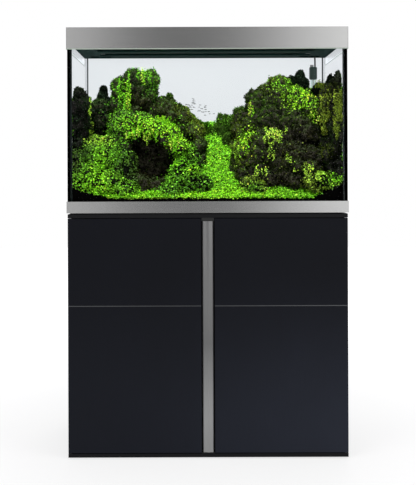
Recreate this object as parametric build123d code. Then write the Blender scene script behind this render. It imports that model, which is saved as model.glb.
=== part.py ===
from build123d import *
import os
from math import radians, sqrt, tan

# Aquarium with a hinged hood on a two-door cabinet.
# Millimetres. X to the right, the front faces -Y, Z up, the floor is z = 0.

# Driving dimensions
WIDTH = 900.0                # cabinet and glass, left to right
DEPTH = 450.0                # cabinet and glass, front to back
CABINET_TOP = 785.0          # floor to the top of the cabinet
TRIM_OVERHANG = 3.0          # brushed frames stand this far outside the glass
TRIM_WALL = 2.5
MAT_THICKNESS = 4.0
FRAME_HEIGHT = 37.0          # brushed base frame
FRAME_LEDGE = 4.0            # floor of the base frame, under the glass
GLASS_HEIGHT = 550.0
GLASS = 10.0                 # pane thickness
HOOD_TOP = 1386.0
SKIRT_BOTTOM = 1318.0
LIP_HEIGHT = 3.0

BOARD = 16.0                 # side panels, stile and shelf
PLATE = 12.0                 # top and bottom panels
BACK_BOARD = 8.0
DOOR = 18.0
FOOT_HEIGHT = 4.0
CARCASS_FRONT = -205.5       # the doors lie in front of this plane
CHANNEL = 21.5               # half of the gap between the two doors
INLAY_Z = 490.0
INLAY_HEIGHT = 2.5
INLAY_DEPTH = 1.5

# Worked out from them
HX = WIDTH / 2
HY = DEPTH / 2
OX = HX + TRIM_OVERHANG
OY = HY + TRIM_OVERHANG
IX = OX - TRIM_WALL          # inside of the brushed frames, side to side
IY = OY - 2.0                # inside of the brushed frames, front to back
DECK_Z = CABINET_TOP - PLATE
FLOOR_Z = FOOT_HEIGHT + PLATE
FRAME_Z = CABINET_TOP + MAT_THICKNESS
TANK_Z = FRAME_Z + FRAME_LEDGE
BED_Z = TANK_Z + GLASS
RIM_Z = TANK_Z + GLASS_HEIGHT

RUNNING = 0.05               # radial clearance of a pin that turns
GAP = 0.5                    # between soft or stacked things


def slab(x, y, z):
    """A block between three pairs of limits."""
    size = [b - a for a, b in (x, y, z)]
    centre = [(a + b) / 2 for a, b in (x, y, z)]
    return Pos(*centre) * Box(*size)


def rod(start, axis, length, radius):
    """A cylinder from a point along one of the axes."""
    turn = {"x": Rot(0, 90, 0), "y": Rot(-90, 0, 0), "z": Rot(0, 0, 0)}[axis]
    return Pos(*start) * turn * Cylinder(radius, length, align=(Align.CENTER, Align.CENTER, Align.MIN))


def mirrored(shape):
    """The same piece on the other side of the centre plane."""
    return mirror(shape, Plane.YZ)


def group(*solids):
    return Compound(list(solids))


def save(name, shape):
    export_step(shape, f"parts/{name}.step")


# Cabinet ---------------------------------------------------------------------------------------

PIVOT_X = HX - 7.0           # door pivot, from the centre plane
PIVOT_Y = -HY + DOOR / 2
PIN_RADIUS = 2.5
PIN_IN_DOOR = 20.0
PIN_IN_BOARD = 8.0
DOOR_BOTTOM = FLOOR_Z + 2.0
DOOR_TOP = DECK_Z - 2.0
DOOR_CHAMFER = 3.0

SHELF_Z = 420.0
SHELF_FRONT = -150.0
SHELF_PIN_RADIUS = 2.5
SHELF_PIN_DEPTH = 9.0
UPRIGHT = 9.0                # half thickness of the centre upright
STILE = 30.0                 # half width of the centre stile
STILE_BACK = CARCASS_FRONT + BOARD
BACK_Y = HY - BACK_BOARD

LATCH_X = 62.0
LATCH_Z = DECK_Z - 12.0
PLUNGER_RADIUS = 4.0
PLUNGER_TIP = -HY + DOOR + 0.3
PLUNGER_LENGTH = 42.0
LATCH_TRAVEL = 3.0
LATCH_FRONT = -190.0
LATCH_BACK = -155.0


def foot_glides():
    """Six low glides under the bottom panel."""
    places = [(x, y) for x in (-410, 0, 410) for y in (-190, 190)]
    return group(*[rod((x, y, 0), "z", FOOT_HEIGHT, 16.0) for x, y in places])


def pin_bores(z, length):
    """The two pivot bores of a board, left and right."""
    bores = [rod((side * PIVOT_X, PIVOT_Y, z), "z", length, PIN_RADIUS) for side in (-1, 1)]
    return bores[0] + bores[1]


def bottom_panel():
    board = slab((-HX, HX), (-HY, HY), (FOOT_HEIGHT, FLOOR_Z))
    return board - pin_bores(FLOOR_Z - PIN_IN_BOARD, PIN_IN_BOARD)


def top_panel():
    board = slab((-HX, HX), (-HY, HY), (DECK_Z, CABINET_TOP))
    return board - pin_bores(DECK_Z, PIN_IN_BOARD)


def shelf_pin_starts():
    """Where the four shelf pins enter the side panel and the upright."""
    inner = HX - BOARD
    ys = (SHELF_FRONT + 40, BACK_Y - 40)
    return [(x, y) for x in (-inner - SHELF_PIN_DEPTH, -UPRIGHT - SHELF_PIN_DEPTH) for y in ys]


def shelf_pins(clearance=0.0):
    z = SHELF_Z - SHELF_PIN_RADIUS
    radius = SHELF_PIN_RADIUS + clearance
    return [rod((x, y, z), "x", 2 * SHELF_PIN_DEPTH, radius) for x, y in shelf_pin_starts()]


def side_panel():
    """The left side panel; the right one is its mirror image without the shelf bores."""
    return slab((-HX, -HX + BOARD), (CARCASS_FRONT, HY), (FLOOR_Z, DECK_Z))


def drilled(board):
    for pin in shelf_pins(RUNNING):
        board = board - pin
    return board


def centre_upright():
    return drilled(slab((-UPRIGHT, UPRIGHT), (STILE_BACK, BACK_Y), (FLOOR_Z, DECK_Z)))


def centre_stile():
    return slab((-STILE, STILE), (CARCASS_FRONT, STILE_BACK), (FLOOR_Z, DECK_Z))


def back_panel():
    """The back board, with one rounded hose cut-out behind each bay."""
    board = slab((-HX + BOARD, HX - BOARD), (BACK_Y, HY), (FLOOR_Z, DECK_Z))
    hole = slab((120, 320), (BACK_Y - 1, HY + 1), (560, 700))
    hole = fillet(hole.edges().filter_by(Axis.Y), 10)
    return board - hole - mirrored(hole)


def shelf():
    board = slab((-HX + BOARD + GAP, -UPRIGHT - GAP), (SHELF_FRONT, BACK_Y - GAP), (SHELF_Z, SHELF_Z + BOARD))
    return fillet(board.edges().filter_by(Axis.X).group_by(Axis.Y)[0], 2)


def left_door():
    """A full overlay door with a routed groove and a bore at each end for its pivot pins."""
    door = slab((-HX, -CHANNEL), (-HY, -HY + DOOR), (DOOR_BOTTOM, DOOR_TOP))
    rear = door.edges().filter_by(Axis.Z).group_by(Axis.X)[0].sort_by(Axis.Y)[-1]
    door = chamfer(rear, DOOR_CHAMFER)
    rim = door.faces().sort_by(Axis.Y)[0].edges()
    door = fillet(rim, 0.8)
    door = door - left_inlay()
    for z in (DOOR_BOTTOM, DOOR_TOP - PIN_IN_DOOR):
        door = door - rod((-PIVOT_X, PIVOT_Y, z), "z", PIN_IN_DOOR, PIN_RADIUS + RUNNING)
    return door


def left_inlay():
    z = (INLAY_Z - INLAY_HEIGHT / 2, INLAY_Z + INLAY_HEIGHT / 2)
    return slab((-HX + 0.8, -CHANNEL - 0.8), (-HY, -HY + INLAY_DEPTH), z)


def door_pins():
    """Four steel pins; the collar of each keeps its door off the boards."""
    pins = []
    for side in (-1, 1):
        x = side * PIVOT_X
        low = rod((x, PIVOT_Y, FLOOR_Z - PIN_IN_BOARD), "z", PIN_IN_BOARD + 18, PIN_RADIUS)
        pins.append(low + rod((x, PIVOT_Y, FLOOR_Z), "z", 1.9, 5.5))
        high = rod((x, PIVOT_Y, DECK_Z - 18), "z", PIN_IN_BOARD + 18, PIN_RADIUS)
        pins.append(high + rod((x, PIVOT_Y, DECK_Z - 1.9), "z", 1.9, 5.5))
    return group(*pins)


TRIM_BOTTOM = 20.0
TRIM_TOP = 762.0
TRIM_HALF = 17.0


def centre_trim():
    """A hollow upright profile with chamfered edges and a low ridge along its middle."""
    half = [(TRIM_HALF, CARCASS_FRONT), (TRIM_HALF, -222.5), (14.5, -225.0), (4.0, -225.4)]
    ridge = (0.0, -226.8)
    left = [(-x, y) for x, y in half]
    outline = make_face(Polyline(*half, ridge, *reversed(left), close=True))
    profile = extrude(Pos(0, 0, TRIM_BOTTOM) * outline, TRIM_TOP - TRIM_BOTTOM)
    core = slab((-15, 15), (-221.5, CARCASS_FRONT + 1), (TRIM_BOTTOM - 1, TRIM_TOP + 1))
    return profile - core


def trim_end_caps():
    spans = ((FLOOR_Z, TRIM_BOTTOM), (TRIM_TOP, DECK_Z))
    return group(*[slab((-20, 20), (-223.5, CARCASS_FRONT), z) for z in spans])


def latch_housing(x):
    """A push latch body under the top panel, bored for its plunger."""
    body = slab((x - 9, x + 9), (LATCH_FRONT, LATCH_BACK), (LATCH_Z - 9, DECK_Z))
    body = fillet(body.edges().filter_by(Axis.Y).group_by(Axis.Z)[0], 3)
    depth = PLUNGER_TIP + PLUNGER_LENGTH + LATCH_TRAVEL + 2 - LATCH_FRONT
    return body - rod((x, LATCH_FRONT, LATCH_Z), "y", depth, PLUNGER_RADIUS + RUNNING)


def latch_plunger(x):
    plunger = rod((x, PLUNGER_TIP, LATCH_Z), "y", PLUNGER_LENGTH, PLUNGER_RADIUS)
    return fillet(plunger.edges().sort_by(Axis.Y)[0], 1.5)


def cabinet():
    save("foot_glides", foot_glides())
    save("bottom_panel", bottom_panel())
    save("top_panel", top_panel())
    save("left_side_panel", drilled(side_panel()))
    save("right_side_panel", mirrored(side_panel()))
    save("centre_upright", centre_upright())
    save("centre_stile", centre_stile())
    save("back_panel", back_panel())
    save("shelf", shelf())
    save("shelf_pins", group(*shelf_pins()))
    save("left_door", left_door())
    save("right_door", mirrored(left_door()))
    save("left_door_inlay", left_inlay())
    save("right_door_inlay", mirrored(left_inlay()))
    save("door_pins", door_pins())
    save("centre_trim", centre_trim())
    save("trim_end_caps", trim_end_caps())
    save("latch_housings", group(latch_housing(-LATCH_X), latch_housing(LATCH_X)))
    save("left_latch_plunger", latch_plunger(-LATCH_X))
    save("right_latch_plunger", latch_plunger(LATCH_X))


# Canister filter in the right bay --------------------------------------------------------------

FILTER_X = 225.0
FILTER_Y = 15.0
CAN_HX = 98.0
CAN_HY = 84.0
CAN_WALL = 4.0
CAN_TOP = 290.0
HEAD_TOP = 352.0
RIM = 6.0                    # the flange at the joint stands out this far
RIM_HEIGHT = 8.0
CLIP_PIVOT_X = CAN_HX + RIM + 6.0
CLIP_PIVOT_Z = CAN_TOP + 30.0
CLIP_HALF = 20.0
CLIP_PIN = 2.0
BUTTON_RADIUS = 13.0
BUTTON_TRAVEL = 8.0
BUTTON_X = -40.0
BUTTON_Y = -40.0


def rounded_block(half_x, half_y, z, radius):
    block = slab((-half_x, half_x), (-half_y, half_y), z)
    return fillet(block.edges().filter_by(Axis.Z), radius)


def at_filter(shape):
    return Pos(FILTER_X, FILTER_Y, 0) * shape


def filter_canister():
    """An open rounded can with a flange round its mouth."""
    can = rounded_block(CAN_HX, CAN_HY, (FLOOR_Z, CAN_TOP), 26)
    can = fillet(can.faces().sort_by(Axis.Z)[0].edges(), 4)
    can = can + rounded_block(CAN_HX + RIM, CAN_HY + RIM, (CAN_TOP - RIM_HEIGHT, CAN_TOP), 32)
    inner = rounded_block(CAN_HX - CAN_WALL, CAN_HY - CAN_WALL, (FLOOR_Z + CAN_WALL, CAN_TOP + 1), 22)
    return at_filter(can - inner)


def filter_media():
    """Three stacked trays of filter media."""
    spans = [(FLOOR_Z + CAN_WALL + 4 + i * 84, FLOOR_Z + CAN_WALL + 84 + i * 84) for i in range(3)]
    return group(*[at_filter(rounded_block(CAN_HX - 10, CAN_HY - 10, z, 16)) for z in spans])


def clip_lugs(side):
    """Two ears on the head, with a moulded pin between them, that carry one clip."""
    x = (CAN_HX - 4, CLIP_PIVOT_X + 5)
    z = (CLIP_PIVOT_Z - 5, CLIP_PIVOT_Z + 5)
    ears = slab(x, (-CLIP_HALF - 6, -CLIP_HALF - GAP), z) + slab(x, (CLIP_HALF + GAP, CLIP_HALF + 6), z)
    pin = rod((CLIP_PIVOT_X, -CLIP_HALF - 3, CLIP_PIVOT_Z), "y", 2 * CLIP_HALF + 6, CLIP_PIN)
    lugs = ears + pin
    return lugs if side > 0 else mirrored(lugs)


def filter_head():
    """The motor head, with its button well, clip lugs, handle recess and two hose spigots."""
    head = rounded_block(CAN_HX + RIM, CAN_HY + RIM, (CAN_TOP, CAN_TOP + RIM_HEIGHT), 32)
    head = head + rounded_block(CAN_HX, CAN_HY, (CAN_TOP + RIM_HEIGHT, HEAD_TOP), 26)
    head = fillet(head.faces().sort_by(Axis.Z)[-1].edges(), 10)
    well_depth = BUTTON_TRAVEL + 12
    head = head - rod((BUTTON_X, BUTTON_Y, HEAD_TOP - well_depth), "z", well_depth + 1, BUTTON_RADIUS + 0.3)
    for x in (-26, 26):
        head = head + rod((x, 40, HEAD_TOP), "z", 14, 15)
        head = head + rod((x, 40, HEAD_TOP + 14), "z", 30, 9.5)
        head = head - rod((x, 40, HEAD_TOP - 8), "z", 60, 7)
    for side in (-1, 1):
        head = head + clip_lugs(side)
    return at_filter(head)


def filter_clip(side):
    """A clip whose hook catches under the can's flange."""
    x = CLIP_PIVOT_X
    clip = rod((x, -CLIP_HALF, CLIP_PIVOT_Z), "y", 2 * CLIP_HALF, 5)
    hook_z = CAN_TOP - RIM_HEIGHT - GAP
    clip = clip + slab((x + 1, x + 5), (-CLIP_HALF, CLIP_HALF), (hook_z - 6, CLIP_PIVOT_Z))
    clip = clip + slab((CAN_HX + 2, x + 5), (-CLIP_HALF, CLIP_HALF), (hook_z - 6, hook_z))
    clip = clip - rod((x, -CLIP_HALF - 1, CLIP_PIVOT_Z), "y", 2 * CLIP_HALF + 2, CLIP_PIN + RUNNING)
    return at_filter(clip if side > 0 else mirrored(clip))


def primer_button():
    button = rod((BUTTON_X, BUTTON_Y, HEAD_TOP - 8), "z", 18, BUTTON_RADIUS)
    return at_filter(fillet(button.edges().sort_by(Axis.Z)[-1], 3))


def canister_filter():
    save("filter_canister", filter_canister())
    save("filter_media", filter_media())
    save("filter_head", filter_head())
    save("left_filter_clip", filter_clip(-1))
    save("right_filter_clip", filter_clip(1))
    save("primer_button", primer_button())


# Glass tank ------------------------------------------------------------------------------------

MAT_INSET = 18.0
LEDGE_X = 430.0
LEDGE_Y = 205.0
SEAM = 0.8                   # silicone between the panes
BEAD = 4.0                   # inner fillet of silicone
FILM = 0.6


def ring(half_out, half_in, z):
    """A rectangular frame: outer and inner half sizes as (x, y)."""
    outer = slab((-half_out[0], half_out[0]), (-half_out[1], half_out[1]), z)
    inner = slab((-half_in[0], half_in[0]), (-half_in[1], half_in[1]), (z[0] - 1, z[1] + 1))
    return outer - inner


def base_frame():
    """The brushed frame that the glass stands in, with a ledge under the bottom pane."""
    walls = ring((OX, OY), (IX, IY), (FRAME_Z, FRAME_Z + FRAME_HEIGHT))
    ledge = ring((IX, IY), (LEDGE_X, LEDGE_Y), (FRAME_Z, TANK_Z))
    frame = walls + ledge
    return fillet(frame.edges().filter_by(Axis.Z).group_by(SortBy.DISTANCE)[-1], 1.5)


def corner_seam():
    """Silicone of the front left corner: the joint between two panes and its inner bead."""
    x = -HX
    y = -HY + GLASS
    points = [(x, y), (x + GLASS + BEAD, y), (x + GLASS, y + BEAD), (x + GLASS, y + SEAM), (x, y + SEAM)]
    face = make_face(Polyline(*points, close=True))
    return extrude(Pos(0, 0, BED_Z) * face, RIM_Z - BED_Z)


def silicone_seams():
    front = corner_seam()
    back = mirror(front, Plane.XZ)
    return group(front, mirrored(front), back, mirrored(back))


def glass_tank():
    mat_x = HX - MAT_INSET
    mat_y = HY - MAT_INSET
    save("support_mat", slab((-mat_x, mat_x), (-mat_y, mat_y), (CABINET_TOP, FRAME_Z)))
    save("base_frame", base_frame())
    save("bottom_pane", slab((-HX, HX), (-HY, HY), (TANK_Z, BED_Z)))
    front = slab((-HX, HX), (-HY, -HY + GLASS), (BED_Z, RIM_Z))
    save("front_pane", front)
    save("rear_pane", mirror(front, Plane.XZ))
    side_y = HY - GLASS - SEAM
    left = slab((-HX, -HX + GLASS), (-side_y, side_y), (BED_Z, RIM_Z))
    save("left_pane", left)
    save("right_pane", mirrored(left))
    save("silicone_seams", silicone_seams())
    save("background_film", slab((-HX + 1, HX - 1), (HY, HY + FILM), (BED_Z, RIM_Z)))


# Hood ------------------------------------------------------------------------------------------

TRAY_FLOOR = 4.0
TRAY_TOP = 1380.0
TRAY_WALL = 4.0
ACCESS_X = 380.0
ACCESS_Y = (-190.0, 40.0)
LIGHT_SLOT_Y = (95.0, 145.0)
FLAP_Z = TRAY_TOP + 0.3
FLAP = 4.0
HINGE_Y = 62.0
KNUCKLE_RADIUS = 4.0
KNUCKLE_HALF = 15.0
HINGE_PIN = 1.5
HINGE_XS = (-330.0, -110.0, 110.0, 330.0)
LEAD_X = 407.0               # where the heater's lead leaves the hood
LEAD_EXIT_Z = 1362.0
GLAND_RADIUS = 6.5


def gland_bore():
    return rod((LEAD_X, IY - TRAY_WALL - 2, LEAD_EXIT_Z), "y", 12, GLAND_RADIUS)


def hood_skirt():
    """The brushed band round the hood; it hangs down over the rim of the glass."""
    band = ring((OX, OY), (IX, IY), (SKIRT_BOTTOM, HOOD_TOP))
    band = fillet(band.edges().filter_by(Axis.Z).group_by(SortBy.DISTANCE)[-1], 1.5)
    return band - gland_bore()


def hood_tray():
    """The black inner tray that rests on the rim of the glass."""
    tray = slab((-IX, IX), (-IY, IY), (RIM_Z, TRAY_TOP))
    inner_x = IX - TRAY_WALL
    inner_y = IY - TRAY_WALL
    tray = tray - slab((-inner_x, inner_x), (-inner_y, inner_y), (RIM_Z + TRAY_FLOOR, TRAY_TOP + 1))
    floor = (RIM_Z - 1, RIM_Z + TRAY_FLOOR + 1)
    access = slab((-ACCESS_X, ACCESS_X), ACCESS_Y, floor)
    access = fillet(access.edges().filter_by(Axis.Z), 12)
    tray = tray - access - slab((-ACCESS_X, ACCESS_X), LIGHT_SLOT_Y, floor)
    notch = fillet(slab((350, 425), (168, 212), floor).edges().filter_by(Axis.Z), 8)
    return tray - notch - mirrored(notch) - gland_bore()


def knuckle(x, half, web_y, bore):
    """One hinge barrel, its web to a plate, and its bore."""
    barrel = rod((x - half, HINGE_Y, FLAP_Z), "x", 2 * half, KNUCKLE_RADIUS)
    web = slab((x - half, x + half), web_y, (FLAP_Z, FLAP_Z + FLAP))
    return barrel + web - rod((x - half - 1, HINGE_Y, FLAP_Z), "x", 2 * half + 2, bore)


def front_flap():
    """The lid over the access opening, with a finger notch at its front edge."""
    flap = slab((-HX, HX), (-HY - 0.5, HINGE_Y - 5.0), (FLAP_Z, FLAP_Z + FLAP))
    flap = fillet(flap.faces().sort_by(Axis.Z)[-1].edges(), 0.8)
    notch = slab((-36, 36), (-HY - 2, -HY + 26), (FLAP_Z - 1, FLAP_Z + FLAP + 1))
    flap = flap - fillet(notch.edges().filter_by(Axis.Z).group_by(Axis.Y)[-1], 12)
    for x in HINGE_XS:
        flap = flap + knuckle(x, KNUCKLE_HALF, (HINGE_Y - 6.5, HINGE_Y), HINGE_PIN + RUNNING)
    return flap


def rear_deck():
    """The fixed rear part of the top, with its knuckles and a row of vent slots."""
    deck = slab((-HX, HX), (HINGE_Y + 5.5, HY + 0.5), (TRAY_TOP, FLAP_Z + FLAP))
    for x in HINGE_XS:
        for side in (-1, 1):
            centre = x + side * (KNUCKLE_HALF + 0.5 + 6)
            deck = deck + knuckle(centre, 6.0, (HINGE_Y, HINGE_Y + 7), HINGE_PIN)
    for i in range(15):
        x = (i - 7) * 50.0
        slot = slab((x - 17, x + 17), (180, 185), (TRAY_TOP - 1, HOOD_TOP))
        deck = deck - fillet(slot.edges().filter_by(Axis.Z), 2)
    return deck


def flap_hinge_pins():
    half = KNUCKLE_HALF + 12
    return group(*[rod((x - half, HINGE_Y, FLAP_Z), "x", 2 * half, HINGE_PIN) for x in HINGE_XS])


def light_housing():
    """A finned aluminium channel over the light slot, standing on two end brackets."""
    y = (102.0, 138.0)
    bar = slab((-365, 365), y, (1352, 1368)) - slab((-361, 361), (105, 135), (1351, 1364))
    for i in range(8):
        fin_y = y[0] + 2 + i * 4.57
        bar = bar + slab((-365, 365), (fin_y - 1, fin_y + 1), (1368, 1373))
    for side in (-1, 1):
        x = sorted((side * 365, side * 392))
        bar = bar + slab(x, y, (RIM_Z + TRAY_FLOOR, 1350)) + slab(x, y, (1350, 1364))
    return bar


def hood():
    save("hood_skirt", hood_skirt())
    save("hood_lip", ring((OX, OY), (IX, IY), (SKIRT_BOTTOM - LIP_HEIGHT, SKIRT_BOTTOM)))
    save("hood_tray", hood_tray())
    save("front_flap", front_flap())
    save("rear_deck", rear_deck())
    save("flap_hinge_pins", flap_hinge_pins())
    save("light_housing", light_housing())
    save("light_diffuser", slab((-361, 361), (105, 135), (1352, 1355)))


# Heater and its lead ---------------------------------------------------------------------------

HEATER_X = 400.0
HEATER_Y = 190.0
HEATER_HEAD = (1258.0, 1304.0)
HEATER_BOTTOM = 1020.0
TUBE_RADIUS = 10.0
HEAD_RADIUS = 14.5
DIAL_X = HEATER_X - 5.0
DIAL_RADIUS = 6.5
DIAL_STEM = 2.5
LEAD_RADIUS = 3.0
LEAD_PLAY = 1.0              # the lead lies loose in its gland
PLUG_LENGTH = 36.0

# Control points of the heater's lead, from the heater's head over the rim, down behind the
# cabinet and along the floor to the plug.
LEAD_ROUTE = [
    (407, 190, 1304), (407, 190, 1325), (407, 195, 1343), (407.5, 208, 1357), (407, 226, 1362),
    (407, 244, 1361), (406, 260, 1352), (404.5, 269, 1335), (403, 272, 1310), (401, 271, 1265),
    (400, 267, 1190), (402, 262, 1110), (404, 261, 1030), (403, 264, 950), (400, 268, 870),
    (398, 269, 790), (399, 266, 710), (402, 262, 630), (404, 260, 550), (403, 262, 470),
    (400, 266, 390), (397, 268, 310), (396, 266, 230), (397, 262, 150), (396, 261, 90),
    (391, 262, 50), (379, 263, 22), (360, 264, 7), (336, 264, 3.0), (306, 261, 3.0),
    (270, 256, 3.0), (226, 254, 3.0), (182, 257, 3.0), (142, 261, 3.0), (112, 262, 4.0),
    (90, 262, 6.0), (72, 262, 7.0),
]


def polyline_radii(points):
    """The largest fair radius at each inner point of a route."""
    radii = []
    for before, here, after in zip(points, points[1:], points[2:]):
        first = Vector(*here) - Vector(*before)
        second = Vector(*after) - Vector(*here)
        half_turn = radians(first.get_angle(second)) / 2
        radii.append(0.45 * min(first.length, second.length) / tan(half_turn))
    return radii


def heater_lead():
    """The lead as a tube along straight runs joined by tangent arcs."""
    radii = polyline_radii(LEAD_ROUTE)
    path = FilletPolyline(*LEAD_ROUTE, radius=radii)
    section = Plane(origin=LEAD_ROUTE[0], z_dir=(0, 0, 1)) * Circle(LEAD_RADIUS)
    lead = sweep(section, path=path)
    length = path.length
    print("lead: length %.0f, volume ratio %.4f" % (length, lead.volume / (length * section.area)))
    print("lead radii:", [round(r) for r in radii])
    return lead


def heater_head():
    """The sealed head, tapered to the tube, with a socket for the dial's stem."""
    body = rod((HEATER_X, HEATER_Y, HEATER_HEAD[0]), "z", HEATER_HEAD[1] - HEATER_HEAD[0], HEAD_RADIUS)
    body = fillet(body.edges().sort_by(Axis.Z)[-1], 3)
    body = chamfer(body.edges().sort_by(Axis.Z)[0], 3)
    return body - rod((DIAL_X, HEATER_Y, HEATER_HEAD[1] - 8), "z", 9, DIAL_STEM + RUNNING)


def heater_dial():
    z = HEATER_HEAD[1] + 0.3
    knob = rod((DIAL_X, HEATER_Y, z), "z", 8, DIAL_RADIUS)
    knob = fillet(knob.edges().sort_by(Axis.Z)[-1], 1)
    knob = knob - slab((DIAL_X - 0.8, DIAL_X + 0.8), (HEATER_Y - 7, HEATER_Y + 7), (z + 6.5, z + 9))
    return knob + rod((DIAL_X, HEATER_Y, z - 6), "z", 7, DIAL_STEM)


def heater_tube():
    """A closed-end glass tube."""
    tube = rod((HEATER_X, HEATER_Y, HEATER_BOTTOM), "z", HEATER_HEAD[0] - HEATER_BOTTOM, TUBE_RADIUS)
    tube = fillet(tube.edges().sort_by(Axis.Z)[0], 8)
    bore = rod((HEATER_X, HEATER_Y, HEATER_BOTTOM + 3), "z", HEATER_HEAD[0] - HEATER_BOTTOM - 3, TUBE_RADIUS - 1.2)
    return tube - fillet(bore.edges().sort_by(Axis.Z)[0], 6)


def heater_element():
    """The ceramic core with its coil, hung from the head inside the tube."""
    z = HEATER_BOTTOM + 20
    core = rod((HEATER_X, HEATER_Y, z), "z", 140, 5.0)
    stem = rod((HEATER_X, HEATER_Y, z + 140), "z", HEATER_HEAD[0] - z - 140, 2.0)
    return core + stem


def heater_bracket():
    """Two collars on a spine, each held to the rear pane by a suction cup."""
    pane_y = HY - GLASS
    spine_y = (HEATER_Y + TUBE_RADIUS + 1.5, HEATER_Y + TUBE_RADIUS + 5)
    shape = slab((HEATER_X - 4, HEATER_X + 4), spine_y, (1060, 1225))
    for z in (1085.0, 1200.0):
        collar = rod((HEATER_X, HEATER_Y, z - 6), "z", 12, TUBE_RADIUS + 2.5)
        shape = shape + (collar - rod((HEATER_X, HEATER_Y, z - 7), "z", 14, TUBE_RADIUS + 0.1))
        cup = Pos(HEATER_X, (spine_y[1] + pane_y) / 2, z) * Rot(-90, 0, 0) * Cone(4, 14, pane_y - spine_y[1])
        shape = shape + cup
    return shape


def lead_gland():
    """A bushing through the back of the hood with a tapered strain relief."""
    bush = rod((LEAD_X, IY - TRAY_WALL, LEAD_EXIT_Z), "y", OY - IY + TRAY_WALL, GLAND_RADIUS)
    relief = Pos(LEAD_X, OY + 7, LEAD_EXIT_Z - 0.4) * Rot(-90, 0, 0) * Cone(6.0, 4.6, 14)
    bore = rod((LEAD_X, IY - TRAY_WALL - 1, LEAD_EXIT_Z - 0.3), "y", 40, LEAD_RADIUS + LEAD_PLAY)
    return bush + relief - bore


def heater_plug():
    """A flat two-pin plug lying on the floor."""
    x, y, z = LEAD_ROUTE[-1]
    body = slab((x - PLUG_LENGTH, x), (y - 13, y + 13), (z - 7, z + 7))
    body = fillet(body.edges().filter_by(Axis.X), 5)
    pins = [rod((x - PLUG_LENGTH - 19, y + side * 9, z), "x", 19, 2.2) for side in (-1, 1)]
    return group(body, *pins)


def heater():
    save("heater_head", heater_head())
    save("heater_dial", heater_dial())
    save("heater_tube", heater_tube())
    save("heater_element", heater_element())
    save("heater_bracket", heater_bracket())
    save("lead_gland", lead_gland())
    save("heater_lead", heater_lead())
    save("heater_plug", heater_plug())


# Soil, rocks and plants ------------------------------------------------------------------------
# Each is the space between two height surfaces over cells of one common grid.

GRID_X = [-432.0 + 36.0 * i for i in range(25)]
GRID_Y = [-207.0 + 34.5 * j for j in range(13)]
INNER_FRONT = -215.0


def ramp(value, start, end):
    """0 before start, 1 after end, straight between."""
    return min(1.0, max(0.0, (value - start) / (end - start)))


def ground(x, y):
    """Top of the soil: a slope that rises to the back, banked up at both front corners."""
    rise = 250.0 * ((y - INNER_FRONT) / 400.0) ** 1.15
    rise = rise * (1.0 - 0.45 * ramp(x, 300.0, 380.0))
    bank = 35.0 * ramp(-x, 296.0, 440.0) ** 1.5 + 51.0 * ramp(x, 330.0, 440.0) ** 1.5
    return 832.0 + rise + bank * (1.0 - ramp(y, -200.0, 0.0))


def crag(x, y, centre, radii, top):
    """Height of one steep-sided rounded crag, or the ground where it isn't."""
    u = sqrt(((x - centre[0]) / radii[0]) ** 2 + ((y - centre[1]) / radii[1]) ** 2)
    if u >= 1.0:
        return ground(x, y)
    return ground(x, y) + (top - ground(x, y)) * sqrt(1.0 - u ** 3)


def highest(crags):
    return lambda x, y: max(crag(x, y, *one) for one in crags)


# centre, radii and top of each crag
LEFT_PEAK = [((-228, 75), (75, 90), 1275), ((-300, 70), (60, 80), 1235), ((-140, 95), (90, 90), 1190),
             ((-50, 140), (90, 70), 1110)]
CAVE = [((-180, -40), (125, 95), 1085)]
RIGHT_PEAK = [((245, 40), (105, 130), 1240), ((150, 70), (70, 90), 1150), ((330, 10), (70, 130), 1190),
              ((200, -60), (110, 85), 1090)]
LEFT_SIDE = [((-440, 0), (70, 180), 1215)]
RIGHT_SIDE = [((450, -20), (70, 200), 1235)]
LEFT_BUSH = [((-420, -110), (110, 100), 1035)]
CENTRE_BUSH = [((-85, -165), (65, 60), 955)]
RIGHT_BUSH = [((310, -170), (60, 55), 960), ((180, -165), (60, 45), 900)]
BACKGROUND = [((330, 172), (45, 50), 1260), ((90, 172), (50, 45), 1130), ((200, 172), (90, 45), 1180)]


def surface_faces(points):
    """Two triangles for each cell of a grid of points."""
    faces = []
    for row, following in zip(points, points[1:]):
        for a, b, c, d in zip(row, row[1:], following[1:], following):
            faces.append(Face(Wire.make_polygon([a, b, c], close=True)))
            faces.append(Face(Wire.make_polygon([a, c, d], close=True)))
    return faces


def layer(xs, ys, low, high, thinnest=2.0):
    """The closed solid between two height functions over part of the common grid."""
    bottom = [[(x, y, low(x, y)) for x in xs] for y in ys]
    top = [[(x, y, max(high(x, y), low(x, y) + thinnest)) for x in xs] for y in ys]
    faces = surface_faces(bottom) + surface_faces(top)
    rims = [(bottom[0], top[0]), (bottom[-1], top[-1])]
    rims += [([row[i] for row in bottom], [row[i] for row in top]) for i in (0, -1)]
    for lower, upper in rims:
        faces.append(Face(Wire.make_polygon(lower + upper[::-1], close=True)))
    return Solid(Shell(faces))


def cells(values, low, high):
    return [v for v in values if low - 0.1 <= v <= high + 0.1]


def patch(x, y, low, high, thinnest=2.0):
    return layer(cells(GRID_X, *x), cells(GRID_Y, *y), low, high, thinnest)


def above(surface, lift):
    return lambda x, y: surface(x, y) + lift


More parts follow.
